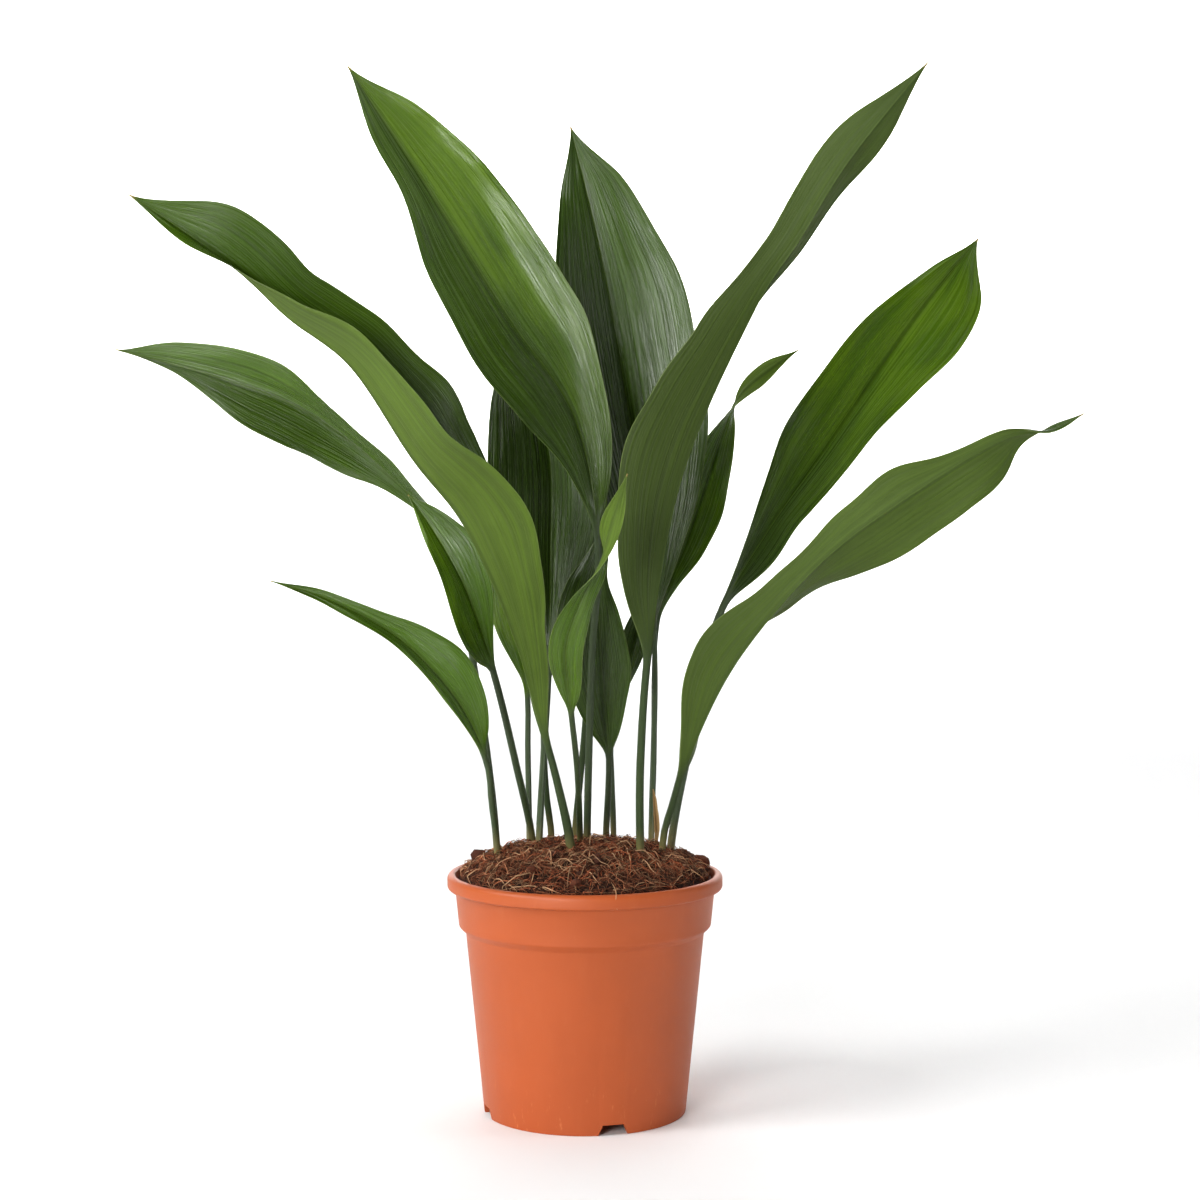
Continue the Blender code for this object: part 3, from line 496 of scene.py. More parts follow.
def leaf_finish(look):
    """Veined leaf: glossy dark upper face, paler matt lower face, thin pale margin, painted shade
    on its halves and foot, and a painted glow of light through it.
    """
    finish = Finish("leaf_blade")
    across, along_blade, side = finish.split(finish.attribute("blade"))
    height, width, seed = finish.split(finish.attribute("growth"))
    # Painted glow of light through the blade and painted shade on its halves and foot.
    glow, deep, _ = finish.split(finish.attribute("tone"))
    reach = abs(across) * width
    edge = width - reach
    upper = side.rise(-0.25, 0.25)
    pleat = finish.noise(finish.join(across * 9 + seed, along_blade * 0.9, seed), 1.0, 3.0, 0.6)
    streak = finish.noise(finish.join(across * 34 + seed, along_blade * 1.7, seed), 1.0, 3.0, 0.6)
    fine = finish.noise(finish.join(across * 110 + seed, along_blade * 3.5, seed), 1.0, 2.0, 0.5)
    broad = finish.noise(finish.join(across * 2.4, along_blade * 4.5, seed * 3), 1.0, 3.0, 0.55)
    mottle = finish.noise(finish.join(across * 26, along_blade * 22, seed), 1.0, 3.0, 0.6)
    veins = (across * 52 + streak * 5).sine() * 0.5 + 0.5
    lines = streak.rise(0.36, 0.64)
    # Painted shade: the upper face goes from a lit, lighter copy of its colour to a shaded, darker
    # one as deep rises.
    top = finish.mix(deep, shade_of(look.upper, 1.9), shade_of(look.upper, 0.28))
    top = finish.mix(lines * 0.35, top, shade_of(look.upper, 1.7))
    top = finish.mix(pleat.rise(0.6, 0.36) * 0.4, top, shade_of(look.upper, 0.4))
    # Painted glow: yellow-green patches where light shines through the blade, partly the leaf's
    # own tone, weaker under painted shade.
    patch = glow * (broad.rise(0.36, 0.60) * 0.75 + 0.25) * (lines * 0.5 + 0.5) * (1 - deep)
    top = finish.mix(patch, top, look.glow)
    top = finish.mix(veins ** 4 * 0.12, top, [part * 1.9 + 0.01 for part in look.upper])
    # Painted shade on the lower face, the same way, by deep.
    under = finish.mix(deep, shade_of(look.lower, 1.5), shade_of(look.lower, 0.45))
    under = finish.mix(lines * 0.2, under, shade_of(look.lower, 1.5))
    under = finish.mix(pleat.rise(0.62, 0.38) * 0.4, under, shade_of(look.lower, 0.6))
    under = finish.mix(veins ** 4 * 0.2, under, shade_of(look.lower, 0.7))
    colour = finish.mix(upper, under, top)
    colour = finish.mix(fine.rise(0.4, 0.75) * 0.12, colour, look.lower)
    colour = finish.mix(mottle.rise(0.45, 0.75) * 0.12, colour, shade_of(look.upper, 0.5))
    blade = along_blade.rise(0.0, 0.06)
    # Painted shade in the groove along the midrib.
    groove = reach.rise(2.6, 1.0) * blade
    colour = finish.mix(groove * 0.22, colour, shade_of(look.upper, 0.4))
    rib = reach.rise(0.8, 0.3) * blade
    colour = finish.mix(rib * 0.4, colour, look.lower)
    rim = edge.rise(0.55, 0.15) * blade * along_blade.rise(1.0, 0.97)
    colour = finish.mix(rim * 0.6, colour, look.margin)
    tip = along_blade.rise(0.985, 0.998)
    colour = finish.mix(tip * 0.6, colour, look.dry)
    stem = along_blade.rise(0.07, -0.01)
    grain = finish.noise(finish.join(across * 6 + seed, height * 0.04, seed), 1.0, 3.0, 0.6)
    stalk = finish.mix(grain, shade_of(look.stalk, 0.75), shade_of(look.stalk, 1.4))
    stalk = finish.mix(height.rise(24.0, -4.0) * 0.8, stalk, look.foot)
    colour = finish.mix(stem, colour, stalk)
    gloss = 0.17 + lines * 0.12 + mottle * 0.08 + (1 - upper) * 0.46 + stem * 0.15
    relief = veins * 0.2 + streak * 1.7 + pleat * 1.7 + fine * 0.4 + mottle * 0.4
    normal = finish.add(finish.bump(relief, 0.4, 0.0009), finish.attribute("lean"))
    return finish.set(Base_Color=colour, Roughness=gloss, Normal=finish.unit(normal),
                      Specular_IOR_Level=0.55)


def sheath_finish(look):
    """Dry papery sheath: tan with darker lengthwise veins."""
    finish = Finish("dry_sheath")
    across, along_blade, _ = finish.split(finish.attribute("blade"))
    streak = finish.noise(finish.join(across * 9, along_blade * 1.5, 4.0), 1.0, 4.0, 0.6)
    colour = finish.mix(streak.rise(0.35, 0.65), shade_of(look.dry, 0.55), look.dry)
    normal = finish.bump(streak, 0.8, 0.0006)
    return finish.set(Base_Color=colour, Roughness=0.75, Normal=normal)


def pot_finish(look):
    """Moulded plastic: even colour, faint flow marks, light scuffs round the foot."""
    finish = Finish("pot_plastic")
    place = finish.place()
    _, _, height = finish.split(place)
    cloud = finish.noise(place, 22.0, 3.0, 0.55)
    flow = finish.noise(finish.stretch(place, 90.0, 90.0, 9.0), 1.0, 3.0, 0.6)
    grain = finish.noise(place, 2600.0, 2.0, 0.6)
    scratch = finish.noise(finish.stretch(place, 260.0, 260.0, 60.0), 1.0, 4.0, 0.7)
    low = height.rise(0.045, 0.0)
    worn = scratch.rise(0.58, 0.72) * (low * 0.75 + 0.07)
    colour = finish.mix(cloud.rise(0.3, 0.7), shade_of(look.colour, 0.94), look.colour)
    colour = finish.mix(flow.rise(0.5, 0.8) * 0.05, colour, look.faded)
    colour = finish.mix(worn * 0.7, colour, look.faded)
    gloss = 0.42 + cloud * 0.12 + worn * 0.25
    relief = grain * 0.6 + flow * 0.5 + scratch * 0.3
    normal = finish.bump(relief, 0.25, 0.00025)
    return finish.set(Base_Color=colour, Roughness=gloss, Normal=normal)


def soil_finish(look):
    """Damp potting mix and coir dust, crumbly and dark: partly its own dark brown, partly painted
    shade in the gaps between the fibres.
    """
    finish = Finish("coir_soil")
    place = finish.place()
    crumb = finish.noise(place, 260.0, 6.0, 0.7)
    patch = finish.noise(place, 45.0, 3.0, 0.5)
    # The darkest soil colour is partly painted shade in the gaps between the fibres.
    colour = finish.mix(crumb.rise(0.42, 0.75), shade_of(look.dark, 0.3), look.brown)
    colour = finish.mix(patch.rise(0.4, 0.7) * 0.5, colour, look.dark)
    normal = finish.bump(crumb, 1.0, 0.003)
    return finish.set(Base_Color=colour, Roughness=0.95, Normal=normal)


def fibre_finish(look):
    """Coir fibres, each with its own brown, paler where they are old straw."""
    finish = Finish("coir_fibre")
    pale, shade, _ = finish.split(finish.attribute("strand"))
    place = finish.place()
    mottle = finish.noise(place, 420.0, 3.0, 0.6)
    colour = finish.mix(shade ** 2.6, shade_of(look.dark, 0.45), shade_of(look.brown, 2.1))
    colour = finish.mix(pale, colour, look.straw)
    colour = finish.mix(mottle.rise(0.3, 0.7) * 0.35, colour, look.dark)
    return finish.set(Base_Color=colour, Roughness=0.8, Specular_IOR_Level=0.35)


def clod_finish(look):
    """Lumps of dark bark and soil, some of them reddish brown."""
    finish = Finish("bark_clod")
    place = finish.place()
    shade, _, _ = finish.split(finish.attribute("strand"))
    crumb = finish.noise(place, 500.0, 5.0, 0.7)
    colour = finish.mix(shade, shade_of(look.dark, 0.45), shade_of(look.brown, 0.75))
    colour = finish.mix(crumb.rise(0.4, 0.7) * 0.6, colour, look.dark)
    normal = finish.bump(crumb, 0.9, 0.0015)
    return finish.set(Base_Color=colour, Roughness=0.9, Normal=normal)


def floor_finish(look):
    """Plain matt floor and backdrop."""
    finish = Finish("stage_floor")
    return finish.set(Base_Color=look.floor, Roughness=0.9, Specular_IOR_Level=0.1)


# ---------------------------------------------------------------- making pieces


def add_object(name, data):
    """Puts a new object with its mesh, curve, light or camera in the scene."""
    thing = bpy.data.objects.new(name, data)
    bpy.context.scene.collection.objects.link(thing)
    return thing


def add_shape(name, shape, material=None):
    """Turns a bmesh into a smooth object."""
    mesh = bpy.data.meshes.new(name)
    shape.to_mesh(mesh)
    shape.free()
    if material:
        mesh.materials.append(material)
    mesh.shade_smooth()
    return add_object(name, mesh)


def finish_piece(name, shape, material, node):
    """Makes a bmesh a piece of the plant that stands for a solid of the frame."""
    piece = add_shape(name, shape, material)
    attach(piece, "root")
    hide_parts(node)
    return piece


def baked_mesh(thing):
    """Mesh of an object as its modifiers or its curve's bevel leave it."""
    bpy.context.view_layer.update()
    graph = bpy.context.evaluated_depsgraph_get()
    return bpy.data.meshes.new_from_object(thing.evaluated_get(graph))


def along(values, t):
    """Value at t of steps spaced evenly from 0 to 1, by a smooth curve through them."""
    x = min(max(t, 0.0), 1.0) * (len(values) - 1)
    i = min(int(x), len(values) - 2)
    f = x - i
    a = values[max(i - 1, 0)]
    b = values[i]
    c = values[i + 1]
    d = values[min(i + 2, len(values) - 1)]
    return 0.5 * (2 * b + (c - a) * f + (2 * a - 5 * b + 4 * c - d) * f * f
                  + (3 * b - 3 * c + d - a) * f ** 3)


def ease(t):
    """0 below 0, 1 above 1 and smooth between."""
    t = min(1.0, max(0.0, t))
    return t * t * (3 - 2 * t)


def polar(radius, angle):
    """The two coordinates of a point at a distance and an angle in radians."""
    return radius * math.cos(angle), radius * math.sin(angle)


class Midrib:
    """The line of a leaf, read by the distance from its foot."""

    def __init__(self, line, parts=160):
        self.line = [Vector(point) for point in line]
        self.parts = parts
        points = [along(self.line, i / parts) for i in range(parts + 1)]
        self.marks = [0.0]
        for a, b in zip(points, points[1:]):
            self.marks.append(self.marks[-1] + (b - a).length)
        self.length = self.marks[-1]

    def at(self, distance):
        """Place on the line, from 0 to 1, at a distance from its foot."""
        low = 0
        high = self.parts
        while high - low > 1:
            middle = (low + high) // 2
            if self.marks[middle] <= distance:
                low = middle
            else:
                high = middle
        span = max(self.marks[high] - self.marks[low], 1e-9)
        return (low + (distance - self.marks[low]) / span) / self.parts

    def stand(self, distance, turn):
        """Centre, across and upward-face directions at a distance."""
        t = self.at(distance)
        forward = along(self.line, min(1.0, t + 1e-3)) - along(self.line, max(0.0, t - 1e-3))
        forward.normalize()
        sideways = Vector((0, 1, 0)).cross(forward).normalized()
        back = forward.cross(sideways)
        angle = math.radians(turn)
        across = sideways * math.cos(angle) + back * math.sin(angle)
        return along(self.line, t), across, across.cross(forward)


class Section:
    """Cross-section of a leaf at a distance from its foot."""

    def __init__(self, leaf, midrib, distance, seed):
        start = midrib.length - leaf["blade"]
        self.distance = distance
        self.t = (distance - start) / leaf["blade"]
        t = max(0.0, self.t)
        self.centre, self.across, self.face = midrib.stand(distance, along(leaf["turn"], t))
        self.left = max(0.0, along([0] + leaf["left"] + [0], t))
        self.right = max(0.0, along([0] + leaf.get("right", leaf["left"]) + [0], t))
        self.opened = ease(t / 0.22)
        stalk = leaf["stalk"] * (1 - leaf.get("slim", 0.1) * min(1.0, distance / start))
        self.rib = stalk * (1 - self.opened) + BLADE_HALF * self.opened
        self.fold = math.radians(along(leaf["fold"], t)) * ease(t / 0.12)
        self.fade = ease(t / 0.25) * ease((1 - t) / 0.12)
        self.wave = leaf["wave"] * self.fade
        self.turns = 2 * math.pi * leaf["waves"] * t
        self.seed = seed
        self.bulge = leaf.get("bulge", (0.1, 0.1))

    def half(self, u):
        """Half width of the side that u lies on, with its edge a little uneven."""
        width = self.left if u < 0 else self.right
        uneven = noise.noise((self.seed, self.distance * 0.03, math.copysign(5.0, u)))
        width = max(0.0, width + UNEVEN * self.fade * (uneven - 0.35))
        return math.hypot(width, self.rib)

    def point(self, u, up):
        """Where the skin is at u from -1, the left edge, to 1, with up from -1 to 1."""
        half = self.half(u)
        reach = half * abs(u)
        lift = reach * math.sin(self.fold)
        lift += self.bulge[u > 0] * half * self.opened * abs(u) * (1 - abs(u))
        lift += self.wave * u * u * math.sin(self.turns + (1.3 if u < 0 else 0.0))
        ripple = noise.noise((u * 2.6 + self.seed, self.distance * 0.035, self.seed))
        lift += WRINKLE * self.fade * ripple * min(1.0, abs(u) * 3)
        flutter = noise.noise((math.copysign(9.0, u), self.distance * 0.032, self.seed + 3.0))
        lift += FLUTTER * self.fade * flutter * u ** 4
        thick = self.rib * abs(up) ** (1 - 0.6 * self.opened)
        if up < 0:
            keel = KEEL * (1 - 0.6 * self.t) * math.exp(-(reach / KEEL_WIDTH) ** 2)
            thick = -thick - keel * self.opened * self.fade
        else:
            thick -= GROOVE * math.exp(-(reach / GROOVE_WIDTH) ** 2) * self.opened * self.fade
        flat = half * u * math.cos(self.fold)
        return (self.centre + self.across * flat + self.face * (lift + thick)) * MM


def leaf_stops(leaf, midrib, spacing):
    """Distances of the rings: wide apart on the stalk, close on the blade."""
    start = midrib.length - leaf["blade"]
    stalk_parts = max(6, round(start / 9.0))
    blade_parts = max(10, round(leaf["blade"] / (spacing / MM)))
    stops = [start * i / stalk_parts for i in range(stalk_parts)]
    stops += [start + leaf["blade"] * i / blade_parts for i in range(blade_parts + 1)]
    return stops


def grow_leaf(leaf, look, seed):
    """Round stalk that opens into a folded blade, as one closed skin."""
    midrib = Midrib(leaf["line"])
    stops = leaf_stops(leaf, midrib, look.spacing)
    shape = bmesh.new()
    bmesh.ops.create_cone(shape, cap_ends=True, cap_tris=False, segments=look.sectors,
                          radius1=1.0, radius2=1.0, depth=2.0)
    sides = [edge for edge in shape.edges if abs(edge.verts[0].co.z - edge.verts[1].co.z) > 1]
    bmesh.ops.subdivide_edges(shape, edges=sides, cuts=len(stops) - 2)
    blade = shape.verts.layers.float_vector.new("blade")
    growth = shape.verts.layers.float_vector.new("growth")
    tone = shape.verts.layers.float_vector.new("tone")
    sections = [Section(leaf, midrib, stop, seed) for stop in stops]
    # glow is a painted glow of light shining through each half, partly the leaf's own
    # yellow-green; deep is painted shade on each half.
    glow = leaf.get("glow", (0.3, 0.3))
    deep = leaf.get("deep", (0.3, 0.3, 0.3))
    for vert in shape.verts:
        section = sections[round((vert.co.z + 1) / 2 * (len(stops) - 1))]
        u = max(-1.0, min(1.0, vert.co.x))
        up = vert.co.y if abs(vert.co.y) > 1e-4 else 0.0
        u = math.copysign(abs(u) ** (1 + 0.6 * section.opened), u)
        vert.co = section.point(u, up)
        vert[blade] = (u, section.t, up)
        vert[growth] = (vert.co.z / MM - STALK_FOOT_Z, section.half(u), seed)
        side = min(1.0, max(0.0, 0.5 + 5 * u))
        dark = deep[0] + (deep[1] - deep[0]) * side
        # More painted shade towards the blade's foot, where the leaves shade one another.
        dark += (deep[2] - dark) * ease(1 - section.t / 0.8)
        vert[tone] = (glow[0] + (glow[1] - glow[0]) * side, dark, side)
    bmesh.ops.recalc_face_normals(shape, faces=shape.faces)
    if shape.calc_volume(signed=True) < 0:
        bmesh.ops.reverse_faces(shape, faces=shape.faces)
    shape.normal_update()
    lean_relief(shape, leaf, blade)
    return shape


def lean_relief(shape, leaf, blade):
    """Records how far the fine relief tips the surface in the glossy and dull patches."""
    lean = shape.verts.layers.float_vector.new("lean")
    for vert in shape.verts:
        u, t, up = vert[blade]
        share = 0.0
        for middle, place, across, length, strength in leaf.get("gleam", ()):
            away = math.hypot((u - middle) / across, (t - place) / length)
            share += strength * ease(1.5 * (1 - away))
        if up * leaf.get("shown", 1) > 0:
            aim = GLEAM if share > 0 else SHADE
            vert[lean] = (aim - vert.normal) * min(1.0, abs(share))


# ---------------------------------------------------------------- pot


def arc(centre, radius, first, last, parts):
    """Points of a profile's rounding, by angles in degrees from the outward direction."""
    points = []
    for k in range(parts + 1):
        x, y = polar(radius, math.radians(first + (last - first) * k / parts))
        points.append((centre[0] + x, centre[1] + y))
    return points


def turn_profile(profile, steps):
    """Solid turned about Z from its (r, z) outline in millimetres."""
    shape = bmesh.new()
    verts = [shape.verts.new((r * MM, 0.0, z * MM)) for r, z in profile]
    for a, b in zip(verts, verts[1:]):
        shape.edges.new((a, b))
    bmesh.ops.spin(shape, geom=shape.verts[:] + shape.edges[:], cent=(0, 0, 0), axis=(0, 0, 1),
                   dvec=(0, 0, 0), angle=2 * math.pi, steps=steps, use_merge=True)
    bmesh.ops.remove_doubles(shape, verts=shape.verts, dist=0.00001)
    bmesh.ops.recalc_face_normals(shape, faces=shape.faces)
    return shape


def pot_profile():
    """Outline of the pot's wall and floor, from the axis out, up the outside and back down."""
    under = POT_HEIGHT - RIM_DROP
    foot = BASE_RADIUS - FOOT_RING
    low = BASE_RADIUS + (BODY_TOP_RADIUS - BASE_RADIUS) * FLOOR_TOP_Z / BODY_TOP_Z - WALL
    return [
        (0.0, FLOOR_UNDER_Z), (foot - 0.8, FLOOR_UNDER_Z), (foot, FLOOR_UNDER_Z - 0.8),
        (foot, 0.3), (foot + 0.3, 0.0), (BASE_RADIUS - 0.6, 0.0), (BASE_RADIUS - 0.1, 0.3),
        (BASE_RADIUS + 0.1, 1.0), (BODY_TOP_RADIUS, BODY_TOP_Z - 0.6),
        (BODY_TOP_RADIUS + 0.6, BODY_TOP_Z + 0.4), (COLLAR_FOOT_RADIUS - 1.0, COLLAR_FOOT_Z - 1.4),
        (COLLAR_FOOT_RADIUS - 0.2, COLLAR_FOOT_Z - 0.4), (COLLAR_FOOT_RADIUS, COLLAR_FOOT_Z + 0.8),
        (COLLAR_TOP_RADIUS, under - 0.8), (COLLAR_TOP_RADIUS + 0.7, under),
        *arc((RIM_RADIUS - 2.0, under + 2.0), 2.0, -90, 0, 5),
        *arc((RIM_RADIUS - 3.0, POT_HEIGHT - 3.0), 3.0, 0, 90, 8),
        *arc((RIM_RADIUS - 3.6, POT_HEIGHT - 1.6), 1.6, 90, 180, 5),
        (COLLAR_TOP_RADIUS - WALL, POT_HEIGHT - 4.0),
        (COLLAR_FOOT_RADIUS - WALL, COLLAR_FOOT_Z + 0.6),
        (BODY_TOP_RADIUS - WALL, BODY_TOP_Z - 1.4),
        (low - 0.2, FLOOR_TOP_Z + 3.0), (low - 2.5, FLOOR_TOP_Z), (0.0, FLOOR_TOP_Z)]


def notch_cutter(angle):
    """Trapezoid block through the foot of the wall, wider at the floor."""
    turn = math.radians(angle - 90.0)
    place = Vector((*polar(BASE_RADIUS, turn), 0.0)) * MM
    spread = Matrix.Diagonal((NOTCH_DEPTH * MM, NOTCH_FOOT_WIDTH * MM, 2 * NOTCH_HEIGHT * MM, 1.0))
    shape = bmesh.new()
    bmesh.ops.create_cube(shape, size=1.0)
    for vert in shape.verts:
        if vert.co.z > 0:
            vert.co.y *= NOTCH_TOP_WIDTH / NOTCH_FOOT_WIDTH
        else:
            vert.co.z *= 0.2
    shape.transform(Matrix.Translation(place) @ Matrix.Rotation(turn, 4, "Z") @ spread)
    return shape


def drain_cutter(turn):
    """Round hole through the pot's floor."""
    place = Vector((*polar(DRAIN_RING, turn), FLOOR_UNDER_Z)) * MM
    shape = bmesh.new()
    bmesh.ops.create_cone(shape, cap_ends=True, segments=32, radius1=DRAIN_RADIUS * MM,
                          radius2=DRAIN_RADIUS * MM, depth=DRAIN_DEPTH * MM)
    shape.transform(Matrix.Translation(place))
    return shape


def carve(thing, cutters):
    """Cuts each cutter shape out of the object and keeps the result as its mesh."""
    blocks = [add_shape("cutter", shape) for shape in cutters]
    for block in blocks:
        step = thing.modifiers.new("cut", "BOOLEAN")
        step.operation = "DIFFERENCE"
        step.solver = "EXACT"
        step.object = block
    thing.data = baked_mesh(thing)
    thing.modifiers.clear()
    for block in blocks:
        bpy.data.objects.remove(block)


# ---------------------------------------------------------------- mulch


def mound(radius):
    """Height of the smooth mound at a distance from the pot's axis."""
    share = min(1.0, radius / MULCH_RADIUS)
    return MULCH_EDGE_Z + MULCH_RISE * (1 - share ** 2.6) ** 0.8


def mulch_height(x, y):
    """Height of the lumpy mulch at a point, in millimetres."""
    edge = min(1.0, 4 * max(0.0, 1.02 - math.hypot(x, y) / MULCH_RADIUS))
    wave = math.sin(x * 0.21 + 1.7) * math.cos(y * 0.24 - 0.6)
    wave += 0.7 * math.sin(x * 0.43 - y * 0.37 + 2.1)
    wave += 0.5 * math.cos(x * 0.58 + y * 0.66)
    return mound(math.hypot(x, y)) + MULCH_ROUGHNESS * wave * edge


def scatter(picker, inset):
    """x and y of a spot drawn evenly over the mulch, away from its edge."""
    radius = (MULCH_RADIUS - inset) * math.sqrt(picker.random())
    return polar(radius, picker.uniform(0, 2 * math.pi))


def strand_points(picker, reach, curl, lift):
    """Curly path over the mulch, a few fibres deep, that dips under at both ends."""
    x, y = scatter(picker, 3.0)
    heading = picker.uniform(0, 2 * math.pi)
    layer = picker.uniform(-0.4, 2.2)
    turning = picker.gauss(0, curl)
    limit = MULCH_RADIUS - 1.0
    points = []
    for k in range(STRAND_PARTS):
        t = k / (STRAND_PARTS - 1)
        turning += picker.gauss(0, curl * 0.5)
        heading += turning
        x += reach / STRAND_PARTS * math.cos(heading)
        y += reach / STRAND_PARTS * math.sin(heading)
        away = math.hypot(x, y)
        if away > limit:
            x *= limit / away
            y *= limit / away
            heading += 0.6
        dip = 1.6 * (abs(2 * t - 1) ** 6)
        z = mulch_height(x, y) + layer + lift * math.sin(math.pi * t) - dip
        points.append((x, y, z))
    return points


def hanging_points():
    """Path of the fibre that lies out over the rim and hangs down its outside."""
    out = Vector((*HANGING_PLACE, 0)).normalized()
    side = Vector((-out.y, out.x, 0))
    points = []
    for k, (radius, z) in enumerate(HANGING_PATH):
        spot = out * min(radius, RIM_RADIUS - 0.2) + side * 0.7 * math.sin(k * 0.9)
        points.append((spot.x, spot.y, z))
    return points


def strand_curve(name, strands, thickness):
    """Thin tubes along the strands' points, thinner towards their ends."""
    curve = bpy.data.curves.new(name, "CURVE")
    curve.dimensions = "3D"
    curve.bevel_depth = thickness
    curve.bevel_resolution = 0
    curve.use_fill_caps = True
    for points, width, _ in strands:
        spline = curve.splines.new("POLY")
        spline.points.add(len(points) - 1)
        for k, (spot, point) in enumerate(zip(spline.points, points)):
            spot.co = (*(value * MM for value in point), 1.0)
            spot.radius = width * (1.0 - 0.55 * abs(2 * k / (len(points) - 1) - 1) ** 2)
    return curve


# ---------------------------------------------------------------- operators


class PLANT_OT_stage(bpy.types.Operator):
    """Floor with a curved backdrop, soft lights and the camera"""

    bl_idname = "plant.stage"
    bl_label = "Add Stage"

    def execute(self, context):
        look = context.scene.plant.stage
        self.add_floor(look)
        for name, (power, size, place, target, spread) in LIGHTS.items():
            lamp = bpy.data.lights.new(name, "AREA")
            lamp.shape = "RECTANGLE"
            lamp.size, lamp.size_y = size
            lamp.energy = getattr(look, power)
            lamp.spread = math.radians(spread)
            light = add_object(name, lamp)
            light.location = place
            aim = Vector(target) - Vector(place)
            light.rotation_euler = aim.to_track_quat("-Z", "Y").to_euler()
        world = bpy.data.worlds.new("surroundings")
        world.use_nodes = True
        surroundings = world.node_tree.nodes["Background"]
        surroundings.inputs["Color"].default_value = (1.0, 1.0, 1.0, 1.0)
        surroundings.inputs["Strength"].default_value = look.room
        context.scene.world = world
        context.scene.view_settings.view_transform = "Standard"
        context.scene.view_settings.look = "Medium High Contrast"
        lens = bpy.data.cameras.new("camera")
        lens.sensor_width = CAMERA_SENSOR
        lens.lens = CAMERA_LENS
        camera = add_object("camera", lens)
        camera.location = CAMERA_PLACE
        camera.rotation_euler = (math.radians(CAMERA_PITCH), 0.0, 0.0)
        context.scene.camera = camera
        return {"FINISHED"}

    def add_floor(self, look):
        """Floor that curves up into the backdrop, drawn from its side and pulled across."""
        bend = arc((SWEEP_BEND, SWEEP_RADIUS), SWEEP_RADIUS, -90, 0, SWEEP_PARTS)
        sweep = [(SWEEP_FRONT, 0.0), *bend, (SWEEP_BEND + SWEEP_RADIUS, SWEEP_TOP)]
        shape = bmesh.new()
        verts = [shape.verts.new((-SWEEP_WIDTH / 2, y, z)) for y, z in sweep]
        edges = [shape.edges.new(pair) for pair in zip(verts, verts[1:])]
        grown = bmesh.ops.extrude_edge_only(shape, edges=edges)
        pulled = [part for part in grown["geom"] if isinstance(part, bmesh.types.BMVert)]
        bmesh.ops.translate(shape, verts=pulled, vec=(SWEEP_WIDTH, 0.0, 0.0))
        add_shape("floor", shape, floor_finish(look))


class PLANT_OT_pot(bpy.types.Operator):
    """Nursery pot with a rolled rim, a collar, foot notches and drain holes"""

    bl_idname = "plant.pot"
    bl_label = "Add Pot"

    def execute(self, context):
        look = context.scene.plant.pot
        shape = turn_profile(pot_profile(), look.steps)
        pot = finish_piece("nursery_pot", shape, pot_finish(look), "pot")
        cutters = [notch_cutter(angle) for angle in NOTCH_ANGLES]
        for number in range(DRAIN_COUNT):
            cutters.append(drain_cutter(2 * math.pi * (number + DRAIN_START) / DRAIN_COUNT))
        carve(pot, cutters)
        pot.data.shade_smooth()
        pot.data.set_sharp_from_angle(angle=math.radians(POT_CREASE))
        return {"FINISHED"}


class PLANT_OT_soil(bpy.types.Operator):
    """Root ball and the lumpy mound of coir with its bark clods"""

    bl_idname = "plant.soil"
    bl_label = "Add Soil"

    def execute(self, context):
        look = context.scene.plant.mulch
        soil = soil_finish(look)
        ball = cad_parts["root_ball"]
        ball.data.materials.clear()
        ball.data.materials.append(soil)
        profile = [(0.0, BALL_TOP_Z + 0.3), (BODY_TOP_RADIUS - WALL - 1.0, BALL_TOP_Z + 0.3)]
        profile.append((MULCH_FOOT_RADIUS, COLLAR_FOOT_Z + 1.6))
        for k in range(MULCH_RINGS, -1, -1):
            radius = MULCH_RADIUS * k / MULCH_RINGS
            profile.append((radius, mound(radius)))
        shape = turn_profile(profile, MULCH_STEPS)
        for vert in shape.verts:
            x, y, z = vert.co / MM
            if z > MULCH_EDGE_Z - 1.0:
                crumbs = noise.fractal((x * 0.16, y * 0.16, 3.0), 0.8, 2.2, 5)
                edge = min(1.0, max(0.0, (MULCH_RADIUS - math.hypot(x, y)) / 4))
                vert.co.z = (mulch_height(x, y) - 0.8 + MULCH_CRUMBS * crumbs * edge) * MM
        finish_piece("coir_mound", shape, soil, "coir_mulch")
        self.add_clods(look)
        return {"FINISHED"}

    def add_clods(self, look):
        """Lumps of bark half sunk in the mulch, as one piece."""
        picker = random.Random(5)
        shape = bmesh.new()
        strand = shape.verts.layers.float_vector.new("strand")
        spots = list(CLODS)
        while len(spots) < CLOD_COUNT:
            spots.append((*scatter(picker, 5.0), picker.uniform(1.2, 3.2)))
        for x, y, size in spots:
            centre = Vector((x, y, mulch_height(x, y) + size * 0.45)) * MM
            turn = Matrix.Rotation(picker.uniform(0, 6.3), 4, "Z")
            tilt = Matrix.Rotation(picker.uniform(-0.6, 0.6), 4, "X")
            flat = Matrix.Diagonal((picker.uniform(0.9, 1.3), 0.95, 0.8, 1.0))
            grown = bmesh.ops.create_icosphere(
                shape, subdivisions=3, radius=size * MM,
                matrix=Matrix.Translation(centre) @ turn @ tilt @ flat)
            shade = picker.random() ** 2
            for vert in grown["verts"]:
                bulge = noise.fractal(vert.co * 260 + Vector((x, y, 0)), 0.8, 2.2, 4)
                vert.co += (vert.co - centre) * 0.32 * bulge
                vert[strand] = (shade, 0.0, 0.0)
        finish_piece("bark_clods", shape, clod_finish(look), "coir_mulch")


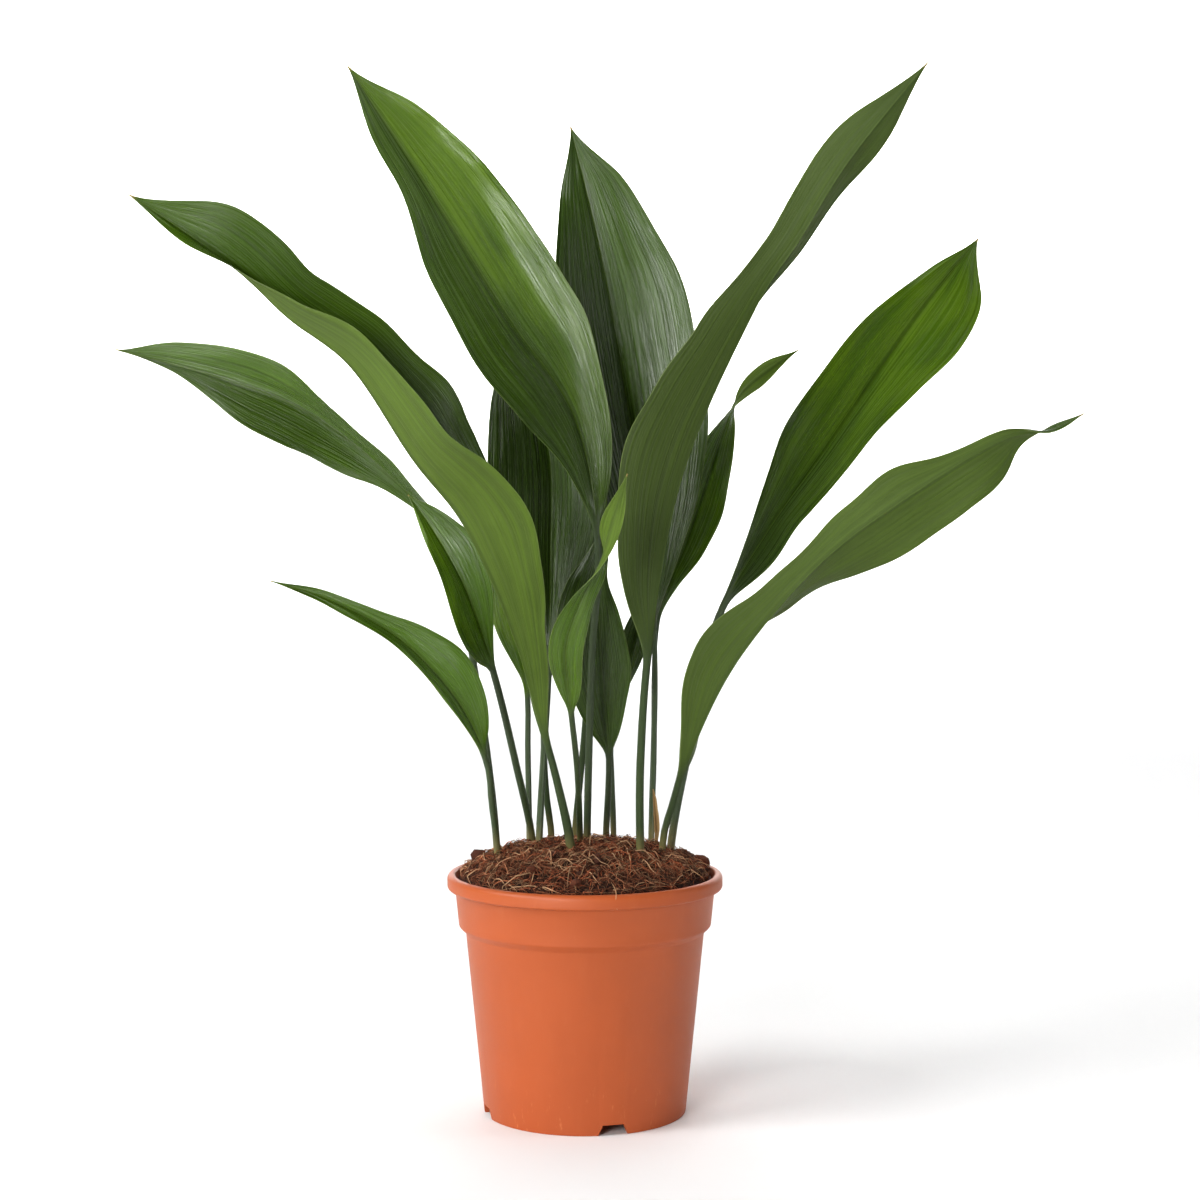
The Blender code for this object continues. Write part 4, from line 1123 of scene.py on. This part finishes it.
class PLANT_OT_fibres(bpy.types.Operator):
    """Curly coir fibres and pale straws over the mulch"""

    bl_idname = "plant.fibres"
    bl_label = "Add Fibres"

    def execute(self, context):
        look = context.scene.plant.mulch
        picker = random.Random(11)
        material = fibre_finish(look)
        counts = {"coir_fibres": look.fibres, "coir_fluff": look.fibres,
                  "straw_fibres": look.straws}
        for name, kind in STRANDS.items():
            low, high, power = kind["pale"]
            strands = []
            for _ in range(counts[name]):
                points = strand_points(picker, picker.uniform(*kind["reach"]), kind["curl"],
                                       picker.uniform(*kind["lift"]))
                width = picker.uniform(*kind["width"])
                pale = low + (high - low) * picker.random() ** power
                strands.append((points, width, (pale, picker.random(), 0.0)))
            if name == "straw_fibres":
                strands.append((hanging_points(), 1.0, (0.9, 0.8, 0.0)))
            self.add_strands(name, strands, look.thickness, material)
        return {"FINISHED"}

    def add_strands(self, name, strands, thickness, material):
        """One piece of all the strands, each with its own tint and closed ends."""
        tube = add_object(name + "_curve", strand_curve(name, strands, thickness))
        mesh = baked_mesh(tube)
        bpy.data.objects.remove(tube)
        each = len(mesh.vertices) // len(strands)
        tint = mesh.attributes.new("strand", "FLOAT_VECTOR", "POINT")
        for number in range(len(mesh.vertices)):
            tint.data[number].vector = strands[min(number // each, len(strands) - 1)][2]
        shape = bmesh.new()
        shape.from_mesh(mesh)
        bpy.data.meshes.remove(mesh)
        bmesh.ops.remove_doubles(shape, verts=shape.verts, dist=1e-6)
        finish_piece(name, shape, material, "coir_mulch")


class PLANT_OT_leaves(bpy.types.Operator):
    """Seventeen long-stalked leaves"""

    bl_idname = "plant.leaves"
    bl_label = "Add Leaves"

    def execute(self, context):
        look = context.scene.plant.leaf
        material = leaf_finish(look)
        for number, (name, leaf) in enumerate(LEAVES.items()):
            if name != "dry_sheath":
                shape = grow_leaf(leaf, look, 1.0 + number * 1.7)
                finish_piece(name.replace("leaf", "blade"), shape, material, name)
        return {"FINISHED"}


class PLANT_OT_sheath(bpy.types.Operator):
    """Dry pointed sheath left beside a stalk"""

    bl_idname = "plant.sheath"
    bl_label = "Add Dry Sheath"

    def execute(self, context):
        look = context.scene.plant.leaf
        shape = grow_leaf(LEAVES["dry_sheath"], look, 40.0)
        finish_piece("papery_sheath", shape, sheath_finish(look), "dry_sheath")
        return {"FINISHED"}


class PLANT_PT_sidebar(bpy.types.Panel):
    """Buttons that add the parts of the plant"""

    bl_idname = "PLANT_PT_sidebar"
    bl_label = "Cast Iron Plant"
    bl_space_type = "VIEW_3D"
    bl_region_type = "UI"
    bl_category = "Plant"

    def draw(self, context):
        for operator in OPERATORS:
            self.layout.operator(operator.bl_idname)
        plant = context.scene.plant
        for group in (plant.pot, plant.mulch, plant.leaf, plant.stage):
            box = self.layout.box()
            for key in group.__annotations__:
                box.prop(group, key)


OPERATORS = (PLANT_OT_stage, PLANT_OT_pot, PLANT_OT_soil, PLANT_OT_fibres, PLANT_OT_leaves,
             PLANT_OT_sheath)
CLASSES = (PotSettings, MulchSettings, LeafSettings, StageSettings, PlantSettings, *OPERATORS,
           PLANT_PT_sidebar)


def register():
    for made in CLASSES:
        bpy.utils.register_class(made)
    bpy.types.Scene.plant = PointerProperty(type=PlantSettings)


def unregister():
    del bpy.types.Scene.plant
    for made in reversed(CLASSES):
        bpy.utils.unregister_class(made)


def main():
    register()
    bpy.ops.plant.stage()
    bpy.ops.plant.pot()
    bpy.ops.plant.soil()
    bpy.ops.plant.fibres()
    bpy.ops.plant.leaves()
    bpy.ops.plant.sheath()
    bpy.context.view_layer.update()


if __name__ == "__main__":
    main()
